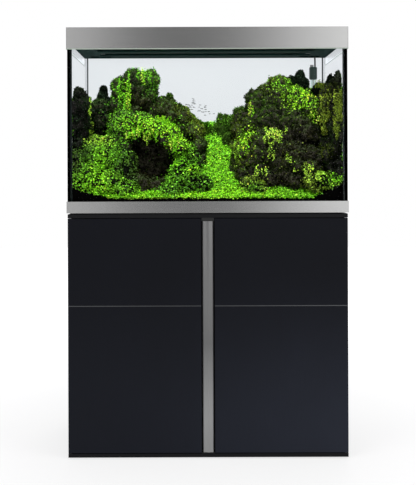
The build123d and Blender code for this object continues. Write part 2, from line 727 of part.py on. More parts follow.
def planting():
    soil_bottom = BED_Z + GAP
    save("substrate", layer(GRID_X, GRID_Y, lambda x, y: soil_bottom, ground))
    on_soil = above(ground, GAP)
    save("left_rock", patch((-360, -36), (0, 207), on_soil, highest(LEFT_PEAK)))
    save("cave_rock", patch((-288, -72), (-138, -34.5), on_soil, highest(CAVE)))
    save("right_rock", patch((108, 360), (-138, 138), on_soil, highest(RIGHT_PEAK)))
    left_side = patch((-432, -396), (-172.5, 172.5), on_soil, highest(LEFT_SIDE))
    right_side = patch((396, 432), (-172.5, 138), on_soil, highest(RIGHT_SIDE))
    save("side_rocks", group(left_side, right_side))
    save("carpet_plants", patch((-36, 72), (-207, 138), on_soil, above(ground, 12), 8.0))
    corner_bush = patch((-396, -288), (-207, -34.5), on_soil, highest(LEFT_BUSH), 8.0)
    centre_bush = patch((-144, -36), (-207, -138), on_soil, highest(CENTRE_BUSH), 8.0)
    save("left_plants", group(corner_bush, centre_bush))
    save("right_plants", patch((108, 396), (-207, -138), on_soil, highest(RIGHT_BUSH), 8.0))
    save("background_plants", patch((72, 360), (138, 207), on_soil, highest(BACKGROUND), 8.0))


os.makedirs("parts", exist_ok=True)
cabinet()
canister_filter()
glass_tank()
hood()
heater()
planting()
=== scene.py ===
import math

import bmesh
import bpy
import numpy as np
from mathutils import Matrix, Vector, noise


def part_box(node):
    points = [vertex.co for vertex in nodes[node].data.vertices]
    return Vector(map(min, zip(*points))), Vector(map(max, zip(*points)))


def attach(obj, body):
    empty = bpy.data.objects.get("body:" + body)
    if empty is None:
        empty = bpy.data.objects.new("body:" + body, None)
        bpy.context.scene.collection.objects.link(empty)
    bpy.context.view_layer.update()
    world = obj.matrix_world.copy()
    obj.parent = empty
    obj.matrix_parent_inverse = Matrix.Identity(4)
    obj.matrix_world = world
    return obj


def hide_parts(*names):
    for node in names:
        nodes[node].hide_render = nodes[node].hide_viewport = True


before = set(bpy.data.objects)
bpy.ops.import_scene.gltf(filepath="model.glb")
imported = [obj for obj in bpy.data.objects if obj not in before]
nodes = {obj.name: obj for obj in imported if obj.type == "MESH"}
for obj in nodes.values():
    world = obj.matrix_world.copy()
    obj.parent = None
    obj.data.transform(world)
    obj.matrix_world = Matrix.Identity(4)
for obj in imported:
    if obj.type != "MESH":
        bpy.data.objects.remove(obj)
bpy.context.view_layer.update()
MM = 0.001

# The inside of the tank, from the frame
BED_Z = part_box("bottom_pane")[1].z
RIM_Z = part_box("front_pane")[1].z
INNER_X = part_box("right_pane")[0].x
INNER_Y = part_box("rear_pane")[0].y
SKIN = 0.0008                     # everything inside keeps this far from the glass
BELOW_RIM = 0.006                 # and this far below the glass's top edge

STAND = "stand"
aquascape = bpy.data.collections.new("aquascape")      # what the light in the hood falls on


def new_object(name, data):
    """An object in the scene for a mesh, a curve, a lamp or a camera."""
    obj = bpy.data.objects.new(name, data)
    bpy.context.collection.objects.link(obj)
    return obj


# Camera, light and floor ----------

CAMERA_X = -0.05                  # a little left of the middle
EYE_HEIGHT = 0.94                 # just above the tank's base
CAMERA_DISTANCE = 2.7             # from the front glass
CAMERA_ROLL = -0.2                # degrees; the photo's horizon is slightly off level


def make_camera():
    """A level camera whose frame is shifted, so that the verticals stay upright."""
    data = bpy.data.cameras.new("camera")
    data.sensor_fit = "VERTICAL"
    data.sensor_height = 24.0
    data.sensor_width = 20.58
    data.lens = 41.6
    data.shift_x = 0.033
    data.shift_y = -0.158
    data.clip_end = 100.0
    camera = new_object("camera", data)
    camera.location = (CAMERA_X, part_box("front_pane")[0].y - CAMERA_DISTANCE, EYE_HEIGHT)
    level = Matrix.Rotation(math.radians(90), 4, "X")
    camera.rotation_euler = (level @ Matrix.Rotation(math.radians(CAMERA_ROLL), 4, "Z")).to_euler()
    bpy.context.scene.camera = camera


def area_light(name, place, target, size, watts):
    """A soft lamp that neither the camera nor a reflection shows."""
    data = bpy.data.lights.new(name, "AREA")
    data.shape = "RECTANGLE"
    data.size, data.size_y = size
    data.energy = watts
    light = new_object(name, data)
    light.location = place
    light.rotation_euler = (Vector(target) - Vector(place)).to_track_quat("-Z", "Y").to_euler()
    light.visible_camera = False
    light.visible_glossy = False


def make_world():
    """A pale studio: white to the eye, with a dim strip in front that the brushed metal mirrors."""
    bpy.context.scene.view_settings.view_transform = "Standard"
    world = bpy.data.worlds.new("studio")
    bpy.context.scene.world = world
    world.use_nodes = True
    tree = world.node_tree
    tree.nodes.clear()
    g = Graph(tree)
    direction = g.split(g.add("ShaderNodeTexCoord").outputs["Generated"])
    across = g.math("MULTIPLY_ADD", direction["X"], 0.5, 0.5)
    strip = g.ramp(across, [(0.30, 0.12), (0.40, 0.44), (0.435, 0.36), (0.465, 0.07), (0.505, 0.05),
                            (0.535, 0.15), (0.56, 0.36), (0.585, 0.62), (0.64, 0.62), (0.75, 0.15)])
    front = g.math("MULTIPLY", g.smooth(direction["Y"], -0.70, -0.85), g.smooth(direction["Z"], 0.55, 0.35))
    studio = g.mix(front, (0.17, 0.17, 0.175, 1), strip)
    shade = g.add("ShaderNodeBackground", Color=studio, Strength=2.0)
    white = g.add("ShaderNodeBackground", Color=(1, 1, 1, 1), Strength=1.0)
    seen = g.add("ShaderNodeLightPath").outputs["Is Camera Ray"]
    g.output("ShaderNodeOutputWorld", seen, shade, white)


def make_floor():
    """A pale floor that glows towards its far edge, so that it fades into the white background."""
    bpy.ops.mesh.primitive_circle_add(vertices=96, radius=7.0, fill_type="NGON", location=(0, 0, -0.0005))
    floor = bpy.context.object
    floor.name = "studio_floor"
    mat, g, bsdf = plain("studio_floor", (0.5, 0.5, 0.5), 0.9, specular=0.1)
    speckle = g.add("ShaderNodeTexNoise", Scale=3.0, Detail=2.0)
    g.surface(bsdf, g.ramp(speckle.outputs["Fac"], [(0.3, 0.48), (0.7, 0.52)]))
    place = g.add("ShaderNodeTexCoord").outputs["Object"]
    away = g.add("ShaderNodeVectorMath", Vector=place)
    away.operation = "LENGTH"
    bsdf.inputs["Emission Color"].default_value = (1, 1, 1, 1)
    glow = g.math("MULTIPLY_ADD", g.smooth(away.outputs["Value"], 0.5, 2.6), 0.30, 0.72)
    mirrored = g.add("ShaderNodeLightPath").outputs["Is Glossy Ray"]
    dimmed = g.math("MULTIPLY_ADD", mirrored, -0.75, 1.0)
    g.link(g.math("MULTIPLY", glow, dimmed), bsdf.inputs["Emission Strength"])
    floor.data.materials.append(mat)


def make_lights():
    """Three studio lamps, one in the hood, and a sun from the front for the planting alone."""
    area_light("key", (-2.6, -2.6, 3.4), (0, 0, 0.9), (2.2, 2.2), 30)
    area_light("fill", (3.0, -2.0, 2.6), (0, 0, 0.8), (2.4, 2.4), 26)
    area_light("back", (0.5, 3.2, 2.8), (0, 0, 1.0), (2.6, 1.6), 30)
    area_light("hood_lamp", (0, -0.01, RIM_Z - 0.002), (0, -0.01, 0), (0.86, 0.40), 2.5)
    data = bpy.data.lights.new("tank_light", "SUN")
    data.energy = 5.0
    data.angle = math.radians(7)
    data.specular_factor = 0.3
    tank_light = new_object("tank_light", data)
    tank_light.rotation_euler = (math.radians(24), math.radians(-6), 0)
    tank_light.light_linking.receiver_collection = aquascape
    tank_light.light_linking.blocker_collection = aquascape


# Materials ----------

class Graph:
    """Short names for building a node tree."""

    def __init__(self, tree):
        self.tree = tree

    def add(self, kind, **inputs):
        """A node whose inputs are set to constants or linked to sockets."""
        node = self.tree.nodes.new(kind)
        for key, value in inputs.items():
            self.put(node.inputs[key], value)
        return node

    def put(self, socket, value):
        if isinstance(value, bpy.types.NodeSocket):
            self.tree.links.new(value, socket)
        else:
            socket.default_value = value

    def link(self, value, socket):
        self.tree.links.new(value, socket)

    def math(self, operation, *values):
        node = self.tree.nodes.new("ShaderNodeMath")
        node.operation = operation
        for socket, value in zip(node.inputs, values):
            self.put(socket, value)
        return node.outputs[0]

    def smooth(self, value, low, high):
        node = self.tree.nodes.new("ShaderNodeMapRange")
        node.interpolation_type = "SMOOTHSTEP"
        for key, item in zip(("Value", "From Min", "From Max"), (value, low, high)):
            self.put(node.inputs[key], item)
        return node.outputs["Result"]

    def split(self, vector):
        """The X, Y and Z of a vector."""
        return self.add("ShaderNodeSeparateXYZ", Vector=vector).outputs

    def place(self):
        """Object coordinates, split into X, Y and Z."""
        return self.split(self.add("ShaderNodeTexCoord").outputs["Object"])

    def mix(self, factor, first, second, blend="MIX"):
        """Two colours blended. The node keeps its colour sockets under these numbers."""
        node = self.tree.nodes.new("ShaderNodeMix")
        node.data_type = "RGBA"
        node.blend_type = blend
        for key, value in (("Factor", factor), (6, first), (7, second)):
            self.put(node.inputs[key], value)
        return node.outputs[2]

    def ramp(self, value, stops):
        """A colour ramp through (position, grey) or (position, colour) stops."""
        node = self.tree.nodes.new("ShaderNodeValToRGB")
        band = node.color_ramp
        while len(band.elements) < len(stops):
            band.elements.new(0.5)
        for element, (place, colour) in zip(band.elements, stops):
            element.position = place
            rgb = (colour,) * 3 if isinstance(colour, (int, float)) else colour
            element.color = (*rgb, 1)
        self.put(node.inputs["Fac"], value)
        return node.outputs["Color"]

    def stretched(self, scale):
        """Object coordinates, scaled differently along each axis."""
        place = self.add("ShaderNodeTexCoord").outputs["Object"]
        return self.add("ShaderNodeMapping", Vector=place, Scale=scale).outputs[0]

    def noise(self, scale, detail, roughness=0.5, stretch=(1, 1, 1)):
        return self.add("ShaderNodeTexNoise", Vector=self.stretched(stretch), Scale=scale, Detail=detail,
                        Roughness=roughness).outputs["Fac"]

    def cells(self, scale):
        return self.add("ShaderNodeTexVoronoi", Vector=self.stretched((1, 1, 1)), Scale=scale).outputs["Distance"]

    def bump(self, height, strength, distance):
        return self.add("ShaderNodeBump", Height=height, Strength=strength, Distance=distance).outputs["Normal"]

    def output(self, kind, share, first, second):
        """Ends the tree in a mix of two shaders."""
        blend = self.add("ShaderNodeMixShader", Fac=share)
        self.link(first.outputs[0], blend.inputs[1])
        self.link(second.outputs[0], blend.inputs[2])
        self.link(blend.outputs[0], self.add(kind).inputs["Surface"])

    def surface(self, bsdf, colour, roughness=None, normal=None):
        """Feeds a Principled shader."""
        for key, value in (("Base Color", colour), ("Roughness", roughness), ("Normal", normal)):
            if value is not None:
                self.link(value, bsdf.inputs[key])


def plain(name, colour, roughness, metallic=0.0, specular=0.5):
    """A Principled material, its graph and its shader."""
    mat = bpy.data.materials.new(name)
    mat.use_nodes = True
    bsdf = mat.node_tree.nodes["Principled BSDF"]
    bsdf.inputs["Base Color"].default_value = (*colour, 1)
    bsdf.inputs["Roughness"].default_value = roughness
    bsdf.inputs["Metallic"].default_value = metallic
    bsdf.inputs["Specular IOR Level"].default_value = specular
    return mat, Graph(mat.node_tree), bsdf


def toned(colour, factor):
    """A lighter or darker colour, as red, green, blue and alpha."""
    return (*(min(1.0, c * factor) for c in colour), 1)


def brushed(name, colour, along, roughness=0.24, painted_reflection=None):
    """Metal with fine scratches along one axis and a faint cloudiness; the last argument is a painted reflection:
    a tone ramp along an axis, darker where the mirrored studio is dimmer.
    """
    mat, g, bsdf = plain(name, colour, roughness, 1.0)
    scratches = [1500.0, 1500.0, 1500.0]
    scratches["xyz".index(along)] = 6.0
    streak = g.noise(1.0, 4.0, 0.7, scratches)
    cloud = g.noise(1.0, 2.0, stretch=(9, 9, 9))
    blend = g.math("MULTIPLY_ADD", cloud, 0.25, g.math("MULTIPLY", streak, 0.75))
    tone = g.mix(blend, toned(colour, 0.90), toned(colour, 1.08))
    # painted reflection: the colour is multiplied by a ramp along one axis
    if painted_reflection:
        axis, start, end, stops = painted_reflection
        tone = g.mix(1.0, tone, g.ramp(g.smooth(g.place()[axis], start, end), stops), "MULTIPLY")
    g.surface(bsdf, tone, g.math("MULTIPLY_ADD", streak, 0.14, roughness - 0.07), g.bump(streak, 0.12, 0.0003))
    bsdf.inputs["Anisotropic"].default_value = 0.85
    bsdf.inputs["Anisotropic Rotation"].default_value = 0.25 if along == "x" else 0.0
    return mat


def moulded(name, colour, roughness=0.45, grain=900.0, depth=0.0002, specular=0.5):
    """Plastic, rubber or coated board with a fine moulded grain and slight wear."""
    mat, g, bsdf = plain(name, colour, roughness, 0.0, specular)
    fine = g.noise(grain, 3.0, 0.6)
    broad = g.noise(7.0, 4.0)
    g.surface(bsdf, g.mix(broad, toned(colour, 0.8), toned(colour, 1.2)),
              g.math("MULTIPLY_ADD", broad, 0.16, roughness - 0.08), g.bump(fine, 0.35, depth))
    return mat


def door_foil(name, colour, painted_sheen_colour):
    """Dark foil with an orange-peel grain and a faint upright fibre, with a painted sheen that makes it lighter
    and bluer low down on the right.
    """
    mat, g, bsdf = plain(name, colour, 0.40, 0.0, 0.18)
    fibre = g.noise(1.0, 3.0, stretch=(700, 700, 24))
    broad = g.noise(1.0, 3.0, stretch=(3, 3, 2))
    place = g.place()
    # painted sheen: the colour turns lighter and bluer low down and towards the right
    rightward = g.math("MULTIPLY_ADD", g.smooth(place["X"], -0.3, 0.45), 0.65, 0.35)
    low = g.math("MULTIPLY", g.smooth(place["Z"], 0.65, 0.0), rightward)
    tone = g.mix(low, (*colour, 1), (*painted_sheen_colour, 1))
    grain = g.math("MULTIPLY_ADD", fibre, 0.35, g.math("MULTIPLY", broad, 0.65))
    peel = g.math("MULTIPLY_ADD", fibre, 0.5, g.cells(420.0))
    g.surface(bsdf, g.mix(1.0, tone, g.ramp(grain, [(0.3, 0.7), (0.7, 1.0)]), "MULTIPLY"),
              g.math("MULTIPLY_ADD", fibre, 0.12, 0.36), g.bump(peel, 0.30, 0.0004))
    return mat


def painted_inner_glow(mat):
    """Painted glow: emission on the inner faces on the left and right, standing in for the pale light seen through
    the side glass.
    """
    g = Graph(mat.node_tree)
    facing = g.split(g.add("ShaderNodeTexCoord").outputs["Normal"])["X"]
    inner = g.math("LESS_THAN", g.math("MULTIPLY", g.place()["X"], facing), -0.2)
    bsdf = mat.node_tree.nodes["Principled BSDF"]
    bsdf.inputs["Emission Color"].default_value = (1, 1, 1, 1)
    # painted glow: the inner faces emit light, though they are no lamp
    g.link(g.math("MULTIPLY", inner, 0.72), bsdf.inputs["Emission Strength"])
    return mat


def clear(name, tint, gloss=0.5, edge=None):
    """Thin clear glass: light passes straight through, the surface still glints, and past edge it is black."""
    mat = bpy.data.materials.new(name)
    mat.use_nodes = True
    tree = mat.node_tree
    tree.nodes.clear()
    g = Graph(tree)
    smear = g.noise(1.0, 3.0, stretch=(6, 6, 6))
    through = g.add("ShaderNodeBsdfTransparent", Color=(*tint, 1))
    if edge:
        border = g.math("GREATER_THAN", g.math("ABSOLUTE", g.place()["X"]), edge)
        g.link(g.mix(border, (*tint, 1), (0.001, 0.001, 0.003, 1)), through.inputs["Color"])
    glint = g.add("ShaderNodeBsdfGlossy", Color=(1, 1, 1, 1))
    g.link(g.math("MULTIPLY_ADD", smear, 0.03, 0.01), glint.inputs["Roughness"])
    outer = g.math("SUBTRACT", 1.0, g.add("ShaderNodeNewGeometry").outputs["Backfacing"])
    share = g.math("POWER", g.add("ShaderNodeFresnel", IOR=1.45).outputs[0], 2.0)
    share = g.math("MULTIPLY", g.math("MULTIPLY", share, outer), gloss)
    g.output("ShaderNodeOutputMaterial", share, through, glint)
    return mat


def frosted(name, colour, glow):
    """A pale film or diffuser; what light it passes on from behind is its glow."""
    own = tuple(c * (1 - glow) for c in colour)
    mat, g, bsdf = plain(name, own, 0.7, 0.0, 0.1)
    cloud = g.noise(1.0, 2.0, stretch=(5, 5, 5))
    g.surface(bsdf, g.mix(cloud, toned(own, 0.94), toned(own, 1.0)))
    bsdf.inputs["Emission Color"].default_value = (*colour, 1)
    bsdf.inputs["Emission Strength"].default_value = glow
    return mat


def silicone():
    """Black silicone; the joint between side and rear glass is the clear kind, and only its bead shows."""
    mat = moulded("silicone", (0.008, 0.014, 0.013), 0.4, 300.0, specular=0.2)
    g = Graph(mat.node_tree)
    place = g.place()
    outer = g.math("GREATER_THAN", g.math("ABSOLUTE", place["X"]), INNER_X - 0.0002)
    rear = g.math("GREATER_THAN", place["Y"], 0.0)
    opaque = mat.node_tree.nodes["Principled BSDF"].inputs["Alpha"]
    g.link(g.math("MULTIPLY_ADD", g.math("MULTIPLY", outer, rear), -0.93, 1.0), opaque)
    return mat


def tinted_leaf(name, roughness=0.5, specular=0.12):
    """A leaf surface whose colour is the mesh's own tint, mottled a little."""
    mat, g, bsdf = plain(name, (0.1, 0.4, 0.02), roughness, 0.0, specular)
    tint = g.add("ShaderNodeAttribute")
    tint.attribute_name = "tint"
    shade = g.ramp(g.noise(260.0, 3.0), [(0.3, 0.72), (0.7, 1.0)])
    g.surface(bsdf, g.mix(1.0, tint.outputs["Color"], shade, "MULTIPLY"))
    return mat


def mineral(name, dark, light, scale, depth, moss=None, specular=0.15):
    """Rock or soil: layered noise in colour and relief, with moss on what faces up."""
    mat, g, bsdf = plain(name, dark, 0.85, 0.0, specular)
    coarse = g.noise(scale, 8.0, 0.65)
    tone = g.ramp(coarse, [(0.35, dark), (0.62, light)])
    if moss:
        up = g.split(g.add("ShaderNodeNewGeometry").outputs["Normal"])["Z"]
        fuzz = g.math("ADD", g.math("MULTIPLY", up, 0.55), g.math("MULTIPLY", coarse, 0.9))
        tone = g.mix(g.smooth(fuzz, 0.55, 0.95), tone, (*moss, 1))
    relief = g.math("MULTIPLY_ADD", g.cells(scale * 2.2), 0.4, coarse)
    g.surface(bsdf, tone, normal=g.bump(relief, 0.8, depth))
    return mat


def dress(mat, *names):
    """Gives CAD nodes a material."""
    for name in names:
        data = nodes[name].data
        data.materials.clear()
        data.materials.append(mat)


def dress_cad():
    """The materials of the CAD nodes that stay as they are."""
    board = moulded("carcass_board", (0.005, 0.0053, 0.0068), 0.5, 700.0, 0.0002, 0.25)
    dress(board, "bottom_panel", "top_panel", "left_side_panel", "right_side_panel", "centre_upright",
          "centre_stile", "back_panel", "shelf")
    # the doors' second colour is the painted sheen low down on the right
    dress(door_foil("door_foil", (0.0038, 0.0048, 0.0098), (0.020, 0.024, 0.038)), "left_door", "right_door")
    dress(brushed("inlay_metal", (0.16, 0.165, 0.17), "x", 0.35), "left_door_inlay", "right_door_inlay")
    # painted glow on the skirt's inner faces
    dress(painted_inner_glow(brushed("trim_metal", (0.62, 0.62, 0.615), "x")), "hood_skirt")
    # painted reflection on the base frame: darker across the middle, lighter towards both ends
    dress(brushed("base_metal", (0.66, 0.66, 0.655), "x",
                  painted_reflection=("X", -0.45, 0.45, [(0.0, 0.94), (0.4, 0.80), (0.6, 0.80), (1.0, 1.0)])), "base_frame")
    # painted reflection on the centre trim: lightest low down, darkest about half way up, a little lighter again
    # at the top
    dress(brushed("pillar_metal", (0.64, 0.64, 0.64), "z", 0.30,
                  painted_reflection=("Z", -0.1, 0.78, [(0.0, 1.0), (0.15, 1.0), (0.55, 0.44), (1.0, 0.59)])), "centre_trim")
    dress(brushed("steel", (0.55, 0.55, 0.56), "z", 0.3), "shelf_pins", "door_pins", "flap_hinge_pins")
    dress(brushed("light_bar_metal", (0.06, 0.075, 0.075), "x", 0.4), "light_housing")
    # painted light: the lip's pale grey-green colour and the glow on its inner faces stand in for the light and
    # reflections at the glass's top edge
    dress(painted_inner_glow(moulded("pale_lip", (0.42, 0.49, 0.42), 0.3)), "hood_lip")
    dress(moulded("black_plastic", (0.012, 0.013, 0.013)), "foot_glides", "trim_end_caps", "latch_housings")
    dress(moulded("hood_plastic", (0.0095, 0.030, 0.027), 0.6, specular=0.2), "front_flap", "rear_deck")
    dress(moulded("tray_plastic", (0.0095, 0.032, 0.029), 0.85, specular=0.05), "hood_tray")
    dress(moulded("foam_mat", (0.006, 0.006, 0.006), 0.9, 1600.0, 0.0005), "support_mat")
    dress(silicone(), "silicone_seams")
    dress(clear("tank_glass", (0.985, 0.995, 0.992), 0.5), "rear_pane", "bottom_pane")
    dress(clear("front_glass", (0.985, 0.995, 0.992), 0.5, edge=INNER_X + 0.003), "front_pane")
    dress(clear("side_glass", (0.894, 0.903, 0.923), 0.2), "left_pane", "right_pane")
    dress(frosted("background", (0.832, 0.84, 0.875), 0.93), "background_film")
    dress(frosted("diffuser", (0.30, 0.34, 0.33), 0.0), "light_diffuser")
    dress(moulded("heater_plastic", (0.022, 0.040, 0.034), 0.3), "heater_head")
    dress(clear("heater_glass", (0.90, 0.94, 0.93), 0.8), "heater_tube")
    dress(moulded("heater_ceramic", (0.45, 0.43, 0.38), 0.6), "heater_element")
    dress(moulded("dial", (0.16, 0.17, 0.17)), "heater_dial")
    dress(moulded("suction_rubber", (0.015, 0.024, 0.022), 0.4), "heater_bracket")
    dress(moulded("filter_grey", (0.055, 0.06, 0.066), 0.5), "filter_canister")
    dress(moulded("filter_black", (0.012, 0.012, 0.013), 0.45), "filter_head")
    dress(moulded("clip_grey", (0.18, 0.20, 0.21), 0.35), "left_filter_clip", "right_filter_clip")
    dress(moulded("button_grey", (0.33, 0.35, 0.35), 0.35), "primer_button", "left_latch_plunger",
          "right_latch_plunger")
    dress(moulded("filter_foam", (0.03, 0.07, 0.17), 0.9, 500.0, 0.002), "filter_media")
    dress(moulded("lead_rubber", (0.010, 0.014, 0.012), 0.5, 1200.0), "lead_gland", "heater_plug")


# Mesh helpers ----------

def mesh_object(name, points, faces, mat, tint=None, smooth=True):
    """An object from arrays of points and of faces that all have as many corners."""
    data = bpy.data.meshes.new(name)
    data.vertices.add(len(points))
    data.vertices.foreach_set("co", np.asarray(points, np.float32).ravel())
    data.loops.add(faces.size)
    data.loops.foreach_set("vertex_index", np.asarray(faces, np.int32).ravel())
    data.polygons.add(len(faces))
    data.polygons.foreach_set("loop_start", np.arange(0, faces.size, faces.shape[1], dtype=np.int32))
    data.update(calc_edges=True)
    data.validate()
    if smooth:
        data.polygons.foreach_set("use_smooth", np.ones(len(data.polygons), bool))
    if tint is not None:
        layer = data.color_attributes.new("tint", "FLOAT_COLOR", "POINT")
        rgba = np.column_stack([tint, np.ones(len(tint))]).astype(np.float32)
        layer.data.foreach_set("color", rgba.ravel())
    data.materials.append(mat)
    return new_object(name, data)


def arrays_of(data):
    """A mesh's points, and its faces as triangles."""
    points = np.empty(len(data.vertices) * 3)
    data.vertices.foreach_get("co", points)
    data.calc_loop_triangles()
    triangles = np.empty(len(data.loop_triangles) * 3, np.int32)
    data.loop_triangles.foreach_get("vertices", triangles)
    return points.reshape(-1, 3), triangles.reshape(-1, 3)


def unit(vectors):
    """Vectors scaled to a length of one."""
    return vectors / np.maximum(np.linalg.norm(vectors, axis=-1, keepdims=True), 1e-9)


def scatter(points, triangles, count, rng):
    """Random places on a surface, with the surface's normal at each."""
    a, b, c = (points[triangles[:, k]] for k in range(3))
    cross = np.cross(b - a, c - a)
    area = np.linalg.norm(cross, axis=1)
    pick = rng.choice(len(triangles), count, p=area / area.sum())
    u, v = rng.random((2, count, 1))
    flip = u + v > 1
    u, v = np.where(flip, 1 - u, u), np.where(flip, 1 - v, v)
    return a[pick] + u * (b - a)[pick] + v * (c - a)[pick], unit(cross)[pick]


def keep_inside(points, inset=0.0):
    """Moves stray points back inside the glass, and a little further in from its sides."""
    x, y = INNER_X - SKIN - inset, INNER_Y - SKIN
    return np.clip(points, (-x, -y, BED_Z + SKIN), (x, y, RIM_Z - BELOW_RIM))


# Ground and rock ----------

def ramp(value, start, end):
    """0 up to start, 1 from end on, and a straight line between."""
    return np.clip((value - start) / (end - start), 0, 1)


SOIL_FRONT = 0.832                # top of the soil at the front glass
SOIL_RISE = 0.250                 # how far it rises to the back, over
SOIL_RUN = 0.400


def ground(x, y):
    """Top of the soil: a slope that rises to the back, banked up at both front corners."""
    rise = SOIL_RISE * np.clip((y + INNER_Y) / SOIL_RUN, 0, None) ** 1.15
    rise = rise * (1 - 0.45 * ramp(x, 0.300, 0.380))
    bank = 0.035 * ramp(-x, 0.296, 0.440) ** 1.5 + 0.051 * ramp(x, 0.330, 0.440) ** 1.5
    return SOIL_FRONT + rise + bank * (1 - ramp(y, -0.200, 0.0))


def ground_grid(xs, ys):
    """The ground's points over a grid, their numbers in rows and columns, and the faces between them."""
    x, y = np.meshgrid(xs, ys, indexing="ij")
    index = np.arange(x.size).reshape(x.shape)
    quads = np.stack([index[:-1, :-1], index[1:, :-1], index[1:, 1:], index[:-1, 1:]], -1).reshape(-1, 4)
    return np.stack([x, y, ground(x, y)], -1).reshape(-1, 3), index, quads


def make_soil():
    """The bed of soil, right up to the glass on all sides."""
    step, grain = 0.004, 0.0009
    top, index, quads = ground_grid(*(np.linspace(-half + SKIN, half - SKIN, int(2 * half / step))
                                      for half in (INNER_X, INNER_Y)))
    top[:, 2] += np.random.default_rng(3).normal(0, grain, len(top))
    rim = np.concatenate([index[:, 0], index[-1, 1:], index[-2::-1, -1], index[0, -2:0:-1]])
    low = top[rim].copy()
    low[:, 2] = BED_Z + SKIN
    below = len(top) + np.arange(len(rim))
    after = np.roll(np.arange(len(rim)), -1)
    walls = np.stack([rim, below, below[after], rim[after]], -1)
    points = np.concatenate([top, low])
    mat = mineral("soil", (0.0002, 0.0002, 0.0002), (0.0009, 0.0008, 0.0007), 420.0, 0.003, specular=0.01)
    soil = mesh_object("soil_bed", points, np.concatenate([quads, walls]), mat, smooth=False)
    under = bmesh.new()
    under.from_mesh(soil.data)
    under.verts.ensure_lookup_table()
    under.faces.new([under.verts[i] for i in below[::-1]])
    bmesh.ops.recalc_face_normals(under, faces=under.faces)
    under.to_mesh(soil.data)
    under.free()
    finish_piece(soil, "soil", "substrate")


def finish_piece(obj, slot, *replaced):
    """Fixes a piece to the stand, hides the CAD nodes it stands for, and lets the sun kept for the planting fall
    on soil, rock, leaves and fish.
    """
    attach(obj, STAND)
    if slot in ("soil", "rock", "leaves", "fish"):
        aquascape.objects.link(obj)
    if replaced:
        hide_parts(*replaced)
    return obj


CUSHION = 0.042                   # the large and
KNOB = 0.017                      # the small rounded lumps on the rocks
ROCK_VOXEL = 0.0055               # how finely rocks and
BUSH_VOXEL = 0.007                # bushes are fused
ROCK_INSET = 0.0016               # how much further from the side glass the rock there and
MOSS_INSET = 0.0008               # its moss stay than its vines, so that each shows over the other


def lumps(points, size):
    """Rounded cushions over the rocks: 1 on top of each, 0 in the cracks between."""
    near = np.array([noise.voronoi(Vector(p) / size)[0][0] for p in points])
    return np.clip(1 - 1.5 * near ** 2, 0, 1)


def ledge_shade_bands(points):
    """Painted light and shade: thin slanting bands of light and dark, like lit ledges of moss with shade beneath.
    """
    along, across = 26, 120
    raw = np.array([noise.noise(Vector((x * along, y * along, z * across + 3 * x * along))) for x, y, z in points])
    return np.clip(0.5 + 1.3 * raw, 0.03, 1)


def craggy(points, rough):
    """How far a rock's surface stands out at each point: cushions, knobs, ledges and grit."""
    ridge = np.array([noise.ridged_multi_fractal(Vector(p) * 15.0, 1.0, 2.1, 4, 1.0, 2.0) for p in points])
    grit = np.array([noise.fractal(Vector(p) * 90.0, 0.8, 2.2, 3) for p in points])
    soft = 0.55 * (lumps(points, CUSHION) - 0.5) + 0.28 * (lumps(points, KNOB) - 0.5)
    return rough * (soft + 0.25 * (ridge - 1.0) + 0.14 * grit)


def fuse(name, blobs, voxel):
    """One closed skin round overlapping ellipsoids given as (centre, radii) in millimetres."""
    shell = bmesh.new()
    for centre, radii in blobs:
        place = Matrix.Translation(Vector(centre) * MM) @ Matrix.Diagonal((*(Vector(radii) * MM), 1))
        bmesh.ops.create_icosphere(shell, subdivisions=3, radius=1.0, matrix=place)
    data = bpy.data.meshes.new(name)
    shell.to_mesh(data)
    shell.free()
    obj = new_object(name, data)
    remesh = obj.modifiers.new("skin", "REMESH")
    remesh.mode = "VOXEL"
    remesh.voxel_size = voxel
    graph = bpy.context.evaluated_depsgraph_get()
    skin = bpy.data.meshes.new_from_object(obj.evaluated_get(graph))
    bpy.data.objects.remove(obj)
    skin.name = name
    return skin


def make_rock(name, blobs, mat, node, rough=0.030, inset=0.0):
    """Boulders fused into one mass, roughened along their normals, in place of a CAD node."""
    data = fuse(name, blobs, ROCK_VOXEL)
    points, _ = arrays_of(data)
    normals = np.empty(len(data.vertices) * 3)
    data.vertices.foreach_get("normal", normals)
    normals = normals.reshape(-1, 3)
    points = keep_inside(points + normals * craggy(points, rough)[:, None], inset)
    data.vertices.foreach_set("co", points.astype(np.float32).ravel())
    data.polygons.foreach_set("use_smooth", np.ones(len(data.polygons), bool))
    data.update()
    data.materials.clear()
    data.materials.append(mat)
    return finish_piece(new_object(name, data), "rock", node)


